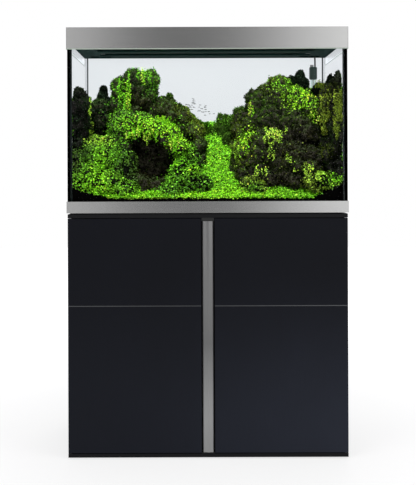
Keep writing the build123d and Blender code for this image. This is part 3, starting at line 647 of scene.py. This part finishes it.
# Boulders, trees and bushes as (centre, radii) in millimetres
LEFT_BOULDERS = [
    ((-230, 75, 1186), (56, 60, 92)), ((-204, 75, 1228), (32, 40, 48)), ((-258, 72, 1238), (27, 38, 42)),
    ((-305, 62, 1205), (22, 36, 54)), ((-300, 65, 1120), (42, 50, 90)), ((-225, 70, 1100), (80, 60, 80)),
    ((-235, 70, 1010), (120, 95, 130)), ((-150, 95, 1095), (56, 60, 92)), ((-98, 115, 1062), (58, 58, 92)),
    ((-52, 140, 1025), (48, 55, 84)), ((-14, 165, 1010), (30, 38, 72)), ((-372, 40, 1095), (36, 50, 76)),
    ((-385, 60, 1050), (46, 60, 95)), ((-345, 90, 1000), (60, 80, 120)), ((-30, 120, 950), (50, 50, 70)),
    ((-42, 70, 1035), (28, 40, 56)), ((-22, 35, 990), (20, 34, 50)), ((-8, 5, 945), (14, 26, 42)),
]
SIDE_BOULDERS = [
    ((-434, -150, 1097), (40, 62, 98)), ((-424, -30, 1100), (26, 75, 80)), ((-425, -130, 1000), (36, 70, 70)),
    ((-420, -40, 960), (45, 110, 90)), ((-434, -160, 1050), (28, 46, 60)),
    ((436, -60, 1130), (50, 90, 100)), ((442, -148, 1120), (38, 56, 122)), ((436, 55, 1125), (50, 85, 104)),
    ((425, -60, 960), (56, 125, 110)), ((440, -150, 960), (44, 54, 130)), ((440, -165, 860), (50, 46, 50)),
    ((442, -164, 1045), (36, 48, 74)),
]
CAVE_BOULDERS = [
    ((-190, -25, 950), (112, 55, 118)), ((-195, -122, 862), (88, 46, 46)), ((-285, -60, 1070), (50, 55, 46)),
    ((-240, -75, 1078), (52, 55, 34)), ((-190, -92, 1062), (46, 52, 25)), ((-142, -95, 1036), (44, 50, 24)),
    ((-103, -88, 1004), (34, 42, 23)), ((-300, -80, 1000), (42, 50, 66)), ((-298, -108, 925), (50, 52, 66)),
    ((-262, -120, 885), (45, 45, 55)), ((-72, -50, 950), (34, 44, 62)), ((-50, -40, 925), (26, 36, 44)),
]
RIGHT_BOULDERS = [
    ((252, 50, 1130), (66, 76, 120)), ((300, 40, 1120), (58, 70, 100)), ((200, 58, 1105), (46, 62, 104)),
    ((160, 85, 1062), (42, 58, 96)), ((168, 85, 1150), (20, 30, 60)), ((122, 110, 1035), (38, 48, 96)),
    ((235, 0, 1010), (125, 92, 135)),
    ((215, -85, 950), (112, 62, 110)), ((312, -50, 1005), (68, 82, 130)), ((345, -10, 1082), (56, 78, 104)),
    ((376, 60, 1110), (34, 55, 92)), ((136, -40, 935), (46, 58, 92)), ((190, -118, 893), (85, 45, 62)),
    ((290, -118, 905), (78, 48, 78)), ((138, -95, 890), (38, 45, 45)), ((345, -120, 930), (50, 50, 70)),
]
TREES = {
    "right_pines": [
        ((347, 150, 1264), (15, 15, 20)), ((353, 150, 1232), (23, 22, 36)), ((316, 152, 1259), (11, 11, 13)),
        ((324, 150, 1232), (18, 17, 30)), ((350, 150, 1195), (34, 28, 50))],
    "far_right_pines": [
        ((112, 150, 1112), (12, 13, 44)), ((134, 150, 1124), (12, 13, 42)), ((76, 150, 1090), (13, 15, 44)),
        ((56, 158, 1094), (11, 13, 40)), ((66, 140, 1050), (26, 24, 42)), ((98, 125, 1065), (26, 28, 60)),
        ((36, 160, 1066), (14, 15, 32)), ((82, 100, 1020), (22, 26, 40)), ((160, 178, 1090), (30, 25, 70))],
    "far_left_pines": [
        ((-46, 150, 1092), (11, 13, 38)), ((-22, 158, 1078), (12, 15, 34)), ((2, 160, 1070), (12, 14, 32)),
        ((20, 165, 1062), (10, 13, 30)), ((-20, 145, 1045), (26, 20, 34)), ((8, 150, 1046), (24, 16, 26)),
        ((-95, 130, 1150), (10, 12, 20)), ((-128, 110, 1182), (12, 13, 20))],
    "left_pines": [
        ((-364, 62, 1198), (12, 13, 26)), ((-364, 60, 1176), (20, 20, 22)), ((-372, 58, 1150), (30, 26, 30))],
    "wall_pines": [((402, 20, 1190), (28, 28, 38)), ((438, 10, 1214), (16, 24, 44))],
}
BUSHES = {
    "left_bush": [
        ((-425, -140, 965), (50, 55, 76)), ((-375, -125, 960), (52, 52, 74)), ((-335, -115, 965), (46, 50, 66)),
        ((-400, -165, 900), (60, 40, 50)), ((-330, -160, 872), (60, 38, 42)), ((-275, -165, 858), (46, 34, 30))],
    "centre_bush": [
        ((-58, -140, 890), (40, 38, 50)), ((-20, -150, 872), (32, 32, 34)), ((-90, -155, 866), (30, 32, 32))],
    "cave_bush": [
        ((-98, -150, 880), (30, 34, 58)), ((-118, -165, 850), (36, 28, 28)), ((-84, -140, 925), (22, 28, 34))],
    "cave_side": [((-268, -135, 925), (28, 30, 70)), ((-262, -150, 870), (34, 30, 40))],
    "right_bush": [
        ((332, -160, 907), (28, 30, 34)), ((352, -172, 888), (30, 28, 26)), ((404, -188, 894), (40, 22, 20)),
        ((430, -190, 898), (10, 22, 22)), ((150, -150, 870), (32, 34, 28)), ((166, -160, 856), (28, 28, 20))],
}


def make_rocks():
    """The four masses of rock, by name."""
    crag = mineral("crag", (0.006, 0.0055, 0.004), (0.045, 0.040, 0.026), 38.0, 0.012, (0.030, 0.048, 0.012))
    mossy = mineral("mossy_rock", (0.008, 0.008, 0.004), (0.040, 0.040, 0.020), 45.0, 0.010,
                    (0.035, 0.070, 0.014))
    dark = mineral("wall_rock", (0.002, 0.002, 0.002), (0.014, 0.013, 0.010), 38.0, 0.012, (0.008, 0.012, 0.004))
    return {"left": make_rock("left_crag", LEFT_BOULDERS, mossy, "left_rock"),
            "cave": make_rock("cave_boulder", CAVE_BOULDERS, crag, "cave_rock"),
            "right": make_rock("right_crag", RIGHT_BOULDERS, crag, "right_rock", 0.036),
            "sides": make_rock("side_crags", SIDE_BOULDERS, dark, "side_rocks", 0.036, ROCK_INSET)}


# Plants ----------

def srgb(red, green, blue):
    """A colour given in display bytes, as linear light."""
    value = np.array([red, green, blue]) / 255.0
    return np.where(value <= 0.04045, value / 12.92, ((value + 0.055) / 1.055) ** 2.4)


LIME = srgb(178, 236, 62)
BRIGHT = srgb(128, 208, 18)
FRESH = srgb(100, 180, 12)
LEAF = srgb(74, 130, 20)
OLIVE = srgb(98, 116, 32)
MOSS = srgb(50, 76, 20)
DEEP = srgb(30, 46, 16)
BARK = srgb(44, 40, 22)
PINE = srgb(44, 62, 42)
MOSS_LEAF = 0.0055                # how long most blades of moss and
VINE_LEAF = 0.0050                # most leaves of the vines are


class Foliage:
    """Many leaves gathered into one mesh."""

    def __init__(self, seed, inset=0.0):
        self.rng = np.random.default_rng(seed)
        self.inset = inset
        self.points, self.faces, self.tints = [], [], []
        self.count = 0

    def take(self, corners, faces, tint):
        """Adds leaves given as (leaf, corner, xyz), all with the same faces, each in its own shade."""
        leaves, count, _ = corners.shape
        self.points.append(corners.reshape(-1, 3))
        self.faces.append((faces + self.count + count * np.arange(leaves)[:, None, None]).reshape(-1, 3))
        self.tints.append(np.repeat(self.shades(tint), count, axis=0))
        self.count += leaves * count

    def leaves(self, base, along, up, length, tint, width):
        """Oval leaves, folded along the midrib and curled at the tip."""
        fold, curl = 0.12, 0.15
        side = unit(np.cross(along, up))
        face = np.cross(side, along)
        size = length[:, None]
        middle = base + along * size * 0.5
        half = side * size * width * 0.5
        lift = face * size * fold
        tip = base + along * size - face * size * curl
        corners = np.stack([base, middle - half + lift, middle, middle + half + lift, tip], 1)
        self.take(corners, np.array([[0, 2, 1], [0, 3, 2], [1, 2, 4], [2, 3, 4]]), tint)

    def blades(self, base, along, up, length, tint, width):
        """Narrow blades of two triangles."""
        curl = 0.2
        side = unit(np.cross(along, up))
        face = np.cross(side, along)
        size = length[:, None]
        middle = base + along * size * 0.45 + face * size * curl * 0.3
        half = side * size * width * 0.5
        tip = base + along * size - face * size * curl
        self.take(np.stack([base, middle - half, middle + half, tip], 1), np.array([[0, 2, 1], [1, 2, 3]]), tint)

    def shades(self, tint):
        """The tint of each leaf, lighter or darker at random; the lightest are also paler."""
        light = np.exp(self.rng.normal(-0.05, 0.55, (len(tint), 1)))
        warm = 1 + self.rng.normal(0, 0.10, (len(tint), 1)) * np.array([1.0, 0.2, -0.5])
        pale = np.clip(light - 1.2, 0, 1.5) * tint.sum(axis=1, keepdims=True) * np.array([0.07, 0.09, 0.03])
        return np.clip(tint * light * warm + pale, 0, 0.9)

    def core(self, surface, tint):
        """A closed dark body behind the leaves: painted shade, standing in for the shade deep inside a clump."""
        points, triangles = surface
        self.points.append(points)
        self.faces.append(triangles + self.count)
        self.tints.append(np.tile(tint, (len(points), 1)))
        self.count += len(points)

    def build(self, name, mat, *replaced):
        """The finished piece, kept inside the glass."""
        points = keep_inside(np.concatenate(self.points), self.inset)
        obj = mesh_object(name, points, np.concatenate(self.faces), mat, np.concatenate(self.tints))
        finish_piece(obj, "leaves", *replaced)


def spot(points, centre, radii):
    """How near points are to a spot in the front view, in millimetres: 1 in its middle, falling to 0."""
    offset = [((points[:, axis] / MM - c) / r) ** 2 for axis, c, r in zip((0, 2), centre, radii)]
    return np.exp(-sum(offset))


def where(least, spots):
    """How densely leaves grow at each point: the sum of (weight, centre, radii) spots, but at least so much."""
    return lambda p: np.clip(sum(weight * spot(p, centre, radii) for weight, centre, radii in spots), least, 1)


def painted(points, ground_tint, spots):
    """Tint by place: each spot is (centre, radii, tint, strength)."""
    tint = np.tile(ground_tint, (len(points), 1))
    for centre, radii, colour, strength in spots:
        share = np.clip(spot(points, centre, radii) * strength, 0, 1)[:, None]
        tint = tint * (1 - share) + colour * share
    return tint


def patchy(points, scale, seed):
    """Smooth random patches between 0 and 1."""
    shift = Vector((seed * 7.1, seed * 3.3, seed * 5.7))
    raw = np.array([noise.noise(Vector(p) * scale + shift) for p in points])
    return np.clip(0.5 + raw * 0.9, 0, 1)


def moss(plants, surface, count, size, ground_tint, spots, seed, ledge_shade=0.0):
    """A close coat of short blades over a surface, with painted light and shade: lighter on the lumps, darker in
    the cracks, and as much as the last argument asks, in bands like ledges.
    """
    base, normals = scatter(*surface, count, plants.rng)
    shown = base[:, 2] > ground(base[:, 0], base[:, 1]) - 0.004
    shown &= plants.rng.random(count) < 0.45 + 0.55 * patchy(base, 42.0, seed)
    base, normals = base[shown], normals[shown]
    lean = plants.rng.normal(0, 1, normals.shape)
    along = unit(normals + 0.55 * lean + np.array([0, 0, 0.25]))
    up = unit(plants.rng.normal(0, 1, base.shape))
    length = size * plants.rng.uniform(0.6, 1.5, len(base))
    # painted light and shade: the tint is lighter on top of the lumps and darker in the cracks between them
    relief = 0.10 + 0.85 * lumps(base, CUSHION) ** 1.5 + 0.55 * lumps(base, KNOB)
    # painted light and shade in slanting bands, like lit and shaded ledges
    relief = relief * (1 - ledge_shade + 2.0 * ledge_shade * ledge_shade_bands(base))
    tint = painted(base, ground_tint, spots) * relief[:, None]
    plants.blades(base, along, up, length, tint, 0.5)


def creeper(plants, surface, count, size, ground_tint, spots, density, stand, patch, seed, thin=0.1):
    """Small round leaves standing a little off a surface, facing out and up."""
    base, normals = scatter(*surface, count, plants.rng)
    keep = plants.rng.random(count) < density(base) * np.clip(2.0 * patchy(base, patch, seed) - 0.3, thin, 1)
    keep &= base[:, 2] > ground(base[:, 0], base[:, 1]) - 0.002
    base, normals = base[keep], normals[keep]
    base = base + normals * (stand * plants.rng.random((len(base), 1)))
    up = unit(normals + plants.rng.normal(0, 0.5, base.shape) + np.array([0, -0.15, 0.35]))
    along = unit(np.cross(up, plants.rng.normal(0, 1, base.shape)) + np.array([0, 0, -0.1]))
    length = size * plants.rng.uniform(0.65, 1.35, len(base))
    plants.leaves(base, along, up, length, painted(base, ground_tint, spots), 0.9)


def strand(plants, start, length, tint, size, sway=0.25):
    """A runner that hangs down from a point, with leaves on both sides."""
    steps = max(3, int(length / (size * 0.75)))
    rng = plants.rng
    drift = np.cumsum(rng.normal(0, sway * 0.2, (steps, 3)), axis=0) * size
    fall = np.linspace(0, 1, steps)[:, None]
    bow = np.array([0, -0.010, 0]) * np.sin(fall * 3)
    line = np.repeat(np.array(start) + drift + fall * np.array([0, 0, -length]) + bow, 3, axis=0)
    around = rng.normal(0, 1, line.shape) * np.array([1, 0.6, 0.4])
    along = unit(around + np.array([0, -0.5, -0.3]))
    up = unit(rng.normal(0, 0.5, line.shape) + np.array([0, -1.0, 0.5]))
    sizes = size * rng.uniform(0.6, 1.2, len(line))
    base = line + rng.normal(0, size * 0.35, line.shape)
    plants.leaves(base, along, up, sizes, np.tile(tint, (len(line), 1)), 0.8)


def tuft(plants, centre, radius, height, count, tint):
    """Stems that stand up and fan out, each with many short needles."""
    rng = plants.rng
    foot = np.array(centre) + rng.normal(0, 0.5, (count, 3)) * np.array([radius, radius * 0.6, 0])
    lean = unit(np.array([0, 0, 1.0]) + rng.normal(0, 0.22, (count, 3)))
    tall = height * rng.uniform(0.5, 1.0, (count, 1))
    whorls = 14
    share = np.tile(np.linspace(0.1, 1, whorls), count)[:, None]
    base = np.repeat(foot, whorls, 0) + np.repeat(lean * tall, whorls, 0) * share
    along = unit(rng.normal(0, 1, base.shape) * np.array([1, 1, 0.3]) + np.array([0, 0, 0.9]))
    up = unit(rng.normal(0, 1, base.shape))
    size = np.full(len(base), height * 0.16)
    plants.blades(base, along, up, size, np.tile(tint, (len(base), 1)), 0.35)


def ground_surface():
    """The soil as a surface to plant on, a little inside the glass."""
    margin, spacing = 0.003, 0.006
    points, _, quads = ground_grid(*(np.arange(-half + margin, half - margin, spacing)
                                     for half in (INNER_X, INNER_Y)))
    return points, np.concatenate([quads[:, [0, 1, 2]], quads[:, [0, 2, 3]]])


def bush_surface(blobs):
    """The lumpy outline of a clump, as a surface to hang leaves on."""
    data = fuse("clump", blobs, BUSH_VOXEL)
    points, triangles = arrays_of(data)
    bpy.data.meshes.remove(data)
    swell = np.array([noise.noise(Vector(p) * 55.0) for p in points])
    middle = points.mean(axis=0)
    return points + unit(points - middle) * (swell * 0.009)[:, None], triangles


def make_carpet():
    """The bright lawn: over the valley, down to the front glass, and up the left bank."""
    plants = Foliage(21)

    def density(p):
        x, y = p[:, 0], p[:, 1]
        valley = np.clip(np.exp(-((x - 0.03) / 0.13) ** 4), 0.06, 1)
        open_ground = np.where(y < -0.10, 1.0, valley)
        edges = np.minimum(ramp(x, -0.430, -0.30), ramp(-x, -0.372, -0.33))
        return open_ground * np.where(y < -0.17, edges, 1)

    spots = [((-10, 850), (300, 24), BRIGHT, 0.8), ((30, 960), (70, 90), BRIGHT, 0.4),
             ((-250, 850), (150, 25), FRESH, 0.6), ((280, 850), (90, 20), LEAF, 0.4),
             ((-150, 833), (260, 6), OLIVE * 1.5, 0.9)]
    creeper(plants, ground_surface(), 92000, 0.0050, FRESH * 0.85, spots, density, 0.010, 30.0, 4, 0.6)
    plants.build("carpet_lawn", leaf_mat, "carpet_plants")


def coat(rock, name, seed, moss_coat, vine_coat, inset=0.0):
    """A rock's moss as one piece, and the beginning of its vines, for the caller to add to and build.

    The coats are what moss and creeper take after the surface."""
    surface = arrays_of(rock.data)
    plants = Foliage(seed, inset)
    moss(plants, surface, *moss_coat)
    plants.build(name + "_moss", moss_mat)
    vines = Foliage(seed + 1)
    creeper(vines, surface, *vine_coat)
    return vines


# In the tables below a spot of colour is (centre, radii, tint, strength) in the front view's millimetres

def make_left_cover(rock):
    """Moss, vines, hanging runners and tufts of the left crag."""
    shades = [((-200, 1245), (60, 40), LEAF, 0.9), ((-365, 1110), (45, 90), PINE * 0.45, 1.0),
              ((-258, 1240), (24, 34), PINE * 0.45, 1.0), ((-75, 1140), (70, 40), OLIVE * 0.8, 0.8),
              ((-140, 1100), (50, 70), BARK * 1.2, 0.8), ((-30, 1075), (30, 50), OLIVE * 1.3, 0.8),
              ((-228, 1165), (52, 40), BARK * 1.1, 0.9), ((-20, 985), (30, 60), DEEP * 0.7, 0.9)]
    bright = [((-305, 1215), (30, 50), FRESH, 0.9), ((-285, 1120), (40, 60), FRESH, 0.3),
              ((-228, 1284), (40, 14), FRESH, 0.9), ((-130, 1040), (60, 50), BRIGHT, 0.9),
              ((-15, 1070), (40, 60), OLIVE * 1.6, 0.8)]
    density = where(0.02, [
        (0.9, (-305, 1225), (24, 45)), (0.8, (-290, 1150), (26, 70)), (0.9, (-228, 1284), (42, 12)),
        (0.8, (-197, 1228), (32, 48)), (0.5, (-290, 1085), (60, 50)), (0.3, (-60, 1110), (60, 50)),
        (0.5, (-130, 1040), (50, 46)), (0.5, (-340, 1190), (30, 25)), (-0.5, (-225, 1158), (40, 34)),
        (0.5, (-190, 1190), (26, 30)), (0.5, (-22, 1080), (16, 44)), (-0.9, (-258, 1232), (22, 32))])
    vines = coat(rock, "left_crag", 31, (80000, MOSS_LEAF, MOSS, shades, 3, 0.5),
                 (34000, VINE_LEAF, LEAF, bright, density, 0.010, 50.0, 6))
    for x, z, length, tint in [
            (-268, 1268, 0.09, FRESH), (-276, 1240, 0.12, BRIGHT), (-264, 1225, 0.13, BRIGHT),
            (-222, 1284, 0.05, LIME), (-214, 1280, 0.055, BRIGHT), (-302, 1240, 0.10, FRESH),
            (-236, 1280, 0.04, FRESH), (-282, 1190, 0.10, FRESH), (-196, 1268, 0.04, FRESH),
            (-270, 1200, 0.06, LIME)]:
        strand(vines, (x * MM, 0.0, z * MM), length, tint, 0.0048)
    for x, y, z, size, count in [(-150, -0.01, 1.065, 0.050, 70), (-122, 0.0, 1.045, 0.045, 60),
                                 (-172, -0.01, 1.065, 0.036, 40)]:
        tuft(vines, (x * MM, y, z), 0.016, size, count, BRIGHT)
    vines.build("left_crag_vines", leaf_mat)


def make_arch_cover(rock):
    """Moss and vines of the arch, with a fringe of short runners over the cave's mouth."""
    # painted shade: the first two spots darken the moss in the cave's mouth under the arch
    shades = [((-200, 930), (90, 100), BARK * 0.35, 1.4), ((-190, 860), (80, 30), OLIVE * 0.22, 1.2),
              ((-190, 1095), (130, 26), MOSS, 0.9)]
    bright = [((-200, 1082), (90, 26), BRIGHT * 1.2, 1.0), ((-115, 1030), (60, 45), BRIGHT * 1.2, 1.0),
              ((-300, 950), (60, 110), LEAF, 0.8)]
    density = where(0.006, [
        (1.3, (-250, 1092), (70, 30)), (1.6, (-165, 1066), (60, 26)), (1.3, (-95, 1012), (36, 34)),
        (0.9, (-300, 1010), (36, 80)), (0.9, (-300, 900), (40, 60)), (1.4, (-66, 955), (34, 60)),
        (-1.8, (-185, 930), (56, 90))])
    vines = coat(rock, "arch", 41, (44000, MOSS_LEAF, DEEP * 0.8, shades, 5, 0.4),
                 (36000, VINE_LEAF, LEAF * 1.2, bright, density, 0.014, 45.0, 8, 0.6))
    rng = vines.rng
    for i in range(44):
        x = -262 + 3.9 * i + rng.normal(0, 3)
        z = 1064 - 0.0024 * (x + 215) ** 2 + rng.normal(0, 7)
        strand(vines, (x * MM, -0.140 + 0.01 * rng.random(), z * MM), rng.uniform(0.008, 0.040),
               (LIME, BRIGHT, FRESH)[i % 3], VINE_LEAF, 0.6)
    vines.build("arch_vines", leaf_mat)


def make_right_cover(rock):
    """Moss and vines of the right crag, with runners in its clefts."""
    shades = [((250, 1230), (80, 45), OLIVE * 0.75, 0.9), ((200, 1130), (60, 80), MOSS * 0.9, 0.8),
              ((260, 1000), (110, 90), BARK, 0.8), ((330, 1180), (60, 60), MOSS, 0.9),
              ((120, 1020), (30, 90), OLIVE, 0.9), ((330, 1050), (70, 60), BARK * 0.55, 0.9),
              ((350, 960), (60, 60), BARK * 0.5, 0.8), ((230, 890), (150, 40), BARK * 0.5, 1.0)]
    bright = [((335, 1175), (65, 55), BRIGHT * 1.3, 1.0), ((260, 1230), (60, 30), FRESH, 0.8),
              ((135, 1010), (40, 80), BRIGHT * 1.15, 1.0)]
    density = where(0.004, [
        (1.8, (335, 1180), (58, 44)), (1.6, (300, 1215), (44, 30)), (0.9, (368, 1140), (26, 30)),
        (0.30, (235, 1235), (60, 24)), (1.6, (148, 1056), (11, 22)), (1.6, (128, 1022), (11, 26)),
        (1.6, (106, 988), (12, 26)), (0.05, (200, 1000), (120, 100))])
    vines = coat(rock, "right_crag", 51, (95000, MOSS_LEAF, MOSS * 0.9, shades, 7, 0.75),
                 (48000, VINE_LEAF, OLIVE, bright, density, 0.012, 50.0, 9, 0.5))
    for x, y, z, length, tint in [
            (356, -0.07, 1150, 0.06, LIME), (364, -0.07, 1145, 0.07, BRIGHT), (372, -0.08, 1135, 0.05, LIME),
            (380, -0.09, 1125, 0.03, LIME), (152, -0.02, 1160, 0.06, LIME), (158, -0.02, 1150, 0.07, BRIGHT),
            (148, -0.02, 1135, 0.06, LIME), (160, -0.02, 1110, 0.04, LIME), (165, -0.02, 1100, 0.03, BRIGHT)]:
        strand(vines, (x * MM, y, z * MM), length, tint, 0.0048, 0.5)
    rng = vines.rng
    for _ in range(16):
        x = rng.uniform(185, 268)
        strand(vines, (x * MM, -0.165, (1056 + rng.normal(0, 7)) * MM), rng.uniform(0.008, 0.04), LIME * 0.8,
               0.0048, 1.2)
    for x, z, length in [
            (212, 1020, 0.05), (216, 990, 0.03), (262, 985, 0.03), (272, 968, 0.03), (285, 950, 0.03),
            (295, 938, 0.02), (165, 940, 0.03), (178, 930, 0.02), (192, 935, 0.03), (160, 925, 0.02)]:
        strand(vines, (x * MM, -0.165, z * MM), length, LIME * 0.7, VINE_LEAF, 1.3)
    vines.build("right_crag_vines", leaf_mat)


def make_side_cover(rock):
    """The cover of the crags at the side panes; its vines lie flat on the glass."""
    shades = [((-430, 1110), (60, 120), PINE * 0.45, 1.0), ((430, 1230), (60, 40), PINE * 0.3, 1.0),
              ((400, 1195), (26, 14), OLIVE, 0.9), ((430, 1130), (50, 60), BARK * 0.8, 0.9),
              ((430, 940), (60, 90), DEEP * 0.2, 1.2), ((385, 985), (24, 20), OLIVE * 0.7, 0.9)]
    near_glass = INNER_X - SKIN - 0.0022
    vines = coat(rock, "side", 61, (64000, MOSS_LEAF, DEEP, shades, 11, 0.6),
                 (30000, 0.0065, LEAF * 1.6, [((430, 1120), (60, 60), OLIVE * 1.5, 0.5)],
                  lambda p: 0.9 * (np.abs(p[:, 0]) > near_glass), 0.001, 35.0, 12, 0.35), MOSS_INSET)
    rng = vines.rng
    for _ in range(110):
        x = rng.uniform(0.376, 0.436)
        y = -0.204 - 0.004 * rng.random() if x > 0.408 else rng.uniform(-0.17, -0.13)
        strand(vines, (x, y, rng.uniform(1.06, 1.185)), rng.uniform(0.012, 0.045), OLIVE * rng.uniform(0.3, 1.6),
               0.0042, 0.3)
    for _ in range(14):
        x = rng.uniform(-0.402, -0.390)
        strand(vines, (x, rng.uniform(-0.12, -0.02), rng.uniform(1.08, 1.17)), rng.uniform(0.04, 0.10),
               LIME * 0.6, 0.0045, 0.2)
    vines.build("side_vines", moss_mat)


def fill_bush(plants, name, count, leaf_count, tint, spots, seed, thin=0.1):
    """A clump: a dark heart of painted shade, a coat of fine dark growth, and open bright leaves."""
    surface = bush_surface(BUSHES[name])
    plants.core(surface, DEEP * 0.12)
    moss(plants, surface, count, 0.0070, DEEP * 0.7, [], seed)
    creeper(plants, surface, leaf_count, 0.0052, tint, spots, lambda p: np.ones(len(p)), 0.016, 45.0, seed + 1,
            thin)


def make_bushes():
    """The clumps at the foot of the crags, as one piece on the left and one on the right."""
    left = Foliage(71)
    fill_bush(left, "left_bush", 14000, 24000, LEAF * 1.2,
              [((-380, 1030), (90, 20), LIME * 0.8, 0.8), ((-330, 880), (90, 50), BRIGHT, 0.8),
               ((-350, 950), (30, 60), BRIGHT, 0.6), ((-428, 960), (22, 50), BARK * 1.5, 0.8),
               ((-395, 985), (26, 26), DEEP, 0.8), ((-300, 900), (30, 60), MOSS, 0.6)], 13, 0.3)
    fill_bush(left, "centre_bush", 5000, 4200, LEAF * 0.8, [((-60, 930), (60, 16), BRIGHT, 0.9)], 15)
    fill_bush(left, "cave_bush", 4000, 5500, LEAF * 1.1, [((-90, 950), (40, 30), FRESH, 0.8)], 23, 0.3)
    fill_bush(left, "cave_side", 4500, 3500, MOSS * 1.2, [((-280, 990), (30, 40), LEAF, 0.8)], 27)
    left.build("left_bushes", leaf_mat, "left_plants")

    right = Foliage(72)
    fill_bush(right, "right_bush", 8000, 6500, OLIVE * 1.1,
              [((410, 900), (50, 30), FRESH, 0.9), ((335, 925), (40, 24), LIME, 0.7),
               ((150, 865), (40, 30), LEAF, 0.9)], 17)
    right.build("right_bushes", leaf_mat, "right_plants")


def make_background():
    """The small trees along the back and on the walls, and tufts on their tops."""
    plants = Foliage(81)
    tints = {"right_pines": PINE * 0.6, "far_right_pines": MOSS * 1.9, "far_left_pines": MOSS * 1.6,
             "left_pines": PINE * 0.6, "wall_pines": PINE * 0.25}
    spots = [((60, 1095), (60, 40), LEAF, 0.5), ((-5, 1090), (30, 16), FRESH, 0.7)]
    for name, blobs in TREES.items():
        surface = bush_surface(blobs)
        # painted shade: a dark body inside each tree
        plants.core(surface, tints[name] * 0.25)
        moss(plants, surface, 9000, MOSS_LEAF, tints[name], spots, 19)
    for x, y, z, tint in [(-60, 0.14, 1.085, MOSS), (-30, 0.16, 1.08, LEAF), (10, 0.18, 1.06, FRESH),
                          (150, 0.17, 1.13, LEAF), (175, 0.15, 1.15, MOSS), (66, 0.17, 1.095, LEAF),
                          (-90, 0.12, 1.11, OLIVE), (85, 0.17, 1.09, LEAF), (390, -0.03, 1.205, OLIVE),
                          (-105, 0.10, 1.13, OLIVE)]:
        tuft(plants, (x * MM, y, z), 0.018, 0.030, 26, tint)
    plants.build("background_trees", moss_mat, "background_plants")


# Fish and the heater's lead ----------

FISH = 34
SIDES = 6                         # corners of each ring round a fish
FISH_RINGS = [(0.0, 0.02), (0.10, 0.10), (0.28, 0.17), (0.5, 0.17), (0.72, 0.10), (0.84, 0.04)]
FISH_X = -0.022                   # middle of the shoal
FISH_Z = 1.148


def make_fish(mat):
    """A shoal of small slim fish in the gap over the valley. Each is rings of corners and a tail fin."""
    rng = np.random.default_rng(91)
    points, faces = [], []
    for _ in range(FISH):
        first = len(points)
        length = rng.uniform(0.007, 0.011)
        centre = np.array([rng.normal(FISH_X, 0.030), rng.normal(0.11, 0.02), 0])
        centre[2] = FISH_Z - 0.35 * (centre[0] - FISH_X) + rng.normal(0, 0.013)
        heading = rng.choice([-1, 1]) * np.array([1, rng.normal(0, 0.35), rng.normal(0, 0.15)])
        heading = heading / np.linalg.norm(heading)
        side = np.array([-heading[1], heading[0], 0])
        for along, radius in FISH_RINGS:
            for k in range(SIDES):
                turn = 2 * math.pi * k / SIDES
                points.append(centre + length * (heading * (0.5 - along) + side * radius * 0.5 * math.cos(turn)
                                                 + np.array([0, 0, radius * math.sin(turn)])))
        for ring in range(first, len(points) - SIDES, SIDES):
            for k in range(SIDES):
                a, b = ring + k, ring + (k + 1) % SIDES
                faces += [(a, b, b + SIDES), (a, b + SIDES, a + SIDES)]
        faces += [(first, first + k + 1, first + k) for k in range(1, SIDES - 1)]
        tail = len(points)
        root = centre - heading * length * 0.32
        end, lift = root - heading * length * 0.2, np.array([0, 0, length * 0.16])
        points += [root, end + lift, end - lift]
        faces.append((tail, tail + 1, tail + 2))
    finish_piece(mesh_object("fish_shoal", np.array(points), np.array(faces), mat), "fish")


# The heater's lead in millimetres, from the top of the heater to the plug on the floor
LEAD_ROUTE = [
    (407, 190, 1304), (407, 190, 1325), (407, 195, 1343), (407.5, 208, 1357), (407, 226, 1362),
    (407, 244, 1361), (406, 260, 1352), (404.5, 269, 1335), (403, 272, 1310), (401, 271, 1265),
    (400, 267, 1190), (402, 262, 1110), (404, 261, 1030), (403, 264, 950), (400, 268, 870),
    (398, 269, 790), (399, 266, 710), (402, 262, 630), (404, 260, 550), (403, 262, 470),
    (400, 266, 390), (397, 268, 310), (396, 266, 230), (397, 262, 150), (396, 261, 90),
    (391, 262, 50), (379, 263, 22), (360, 264, 7), (336, 264, 3.0), (306, 261, 3.0),
    (270, 256, 3.0), (226, 254, 3.0), (182, 257, 3.0), (142, 261, 3.0), (112, 262, 4.0),
    (90, 262, 6.0), (72, 262, 7.0),
]
LEAD_RADIUS = 0.003


def make_lead(mat):
    """The heater's lead, as a cord."""
    curve = bpy.data.curves.new("heater_cable", "CURVE")
    curve.dimensions = "3D"
    spline = curve.splines.new("NURBS")
    spline.points.add(len(LEAD_ROUTE) - 1)
    for point, place in zip(spline.points, LEAD_ROUTE):
        point.co = (*(Vector(place) * MM), 1)
    spline.order_u = 3
    spline.use_endpoint_u = True
    spline.resolution_u = 12
    curve.bevel_depth = LEAD_RADIUS
    curve.bevel_resolution = 5
    curve.use_fill_caps = True
    curve.materials.append(mat)
    lead = new_object("heater_cable", curve)
    finish_piece(lead, "lead_rubber", "heater_lead")


make_camera()
make_world()
make_floor()
make_lights()
dress_cad()
leaf_mat = tinted_leaf("leaf")
moss_mat = tinted_leaf("moss", 0.85, 0.04)
make_lead(moulded("cable_sheath", (0.010, 0.014, 0.012), 0.45, 1500.0))
make_soil()
rocks = make_rocks()
make_carpet()
make_left_cover(rocks["left"])
make_arch_cover(rocks["cave"])
make_right_cover(rocks["right"])
make_side_cover(rocks["sides"])
make_bushes()
make_background()
make_fish(moulded("fish_skin", (0.05, 0.06, 0.06), 0.4))
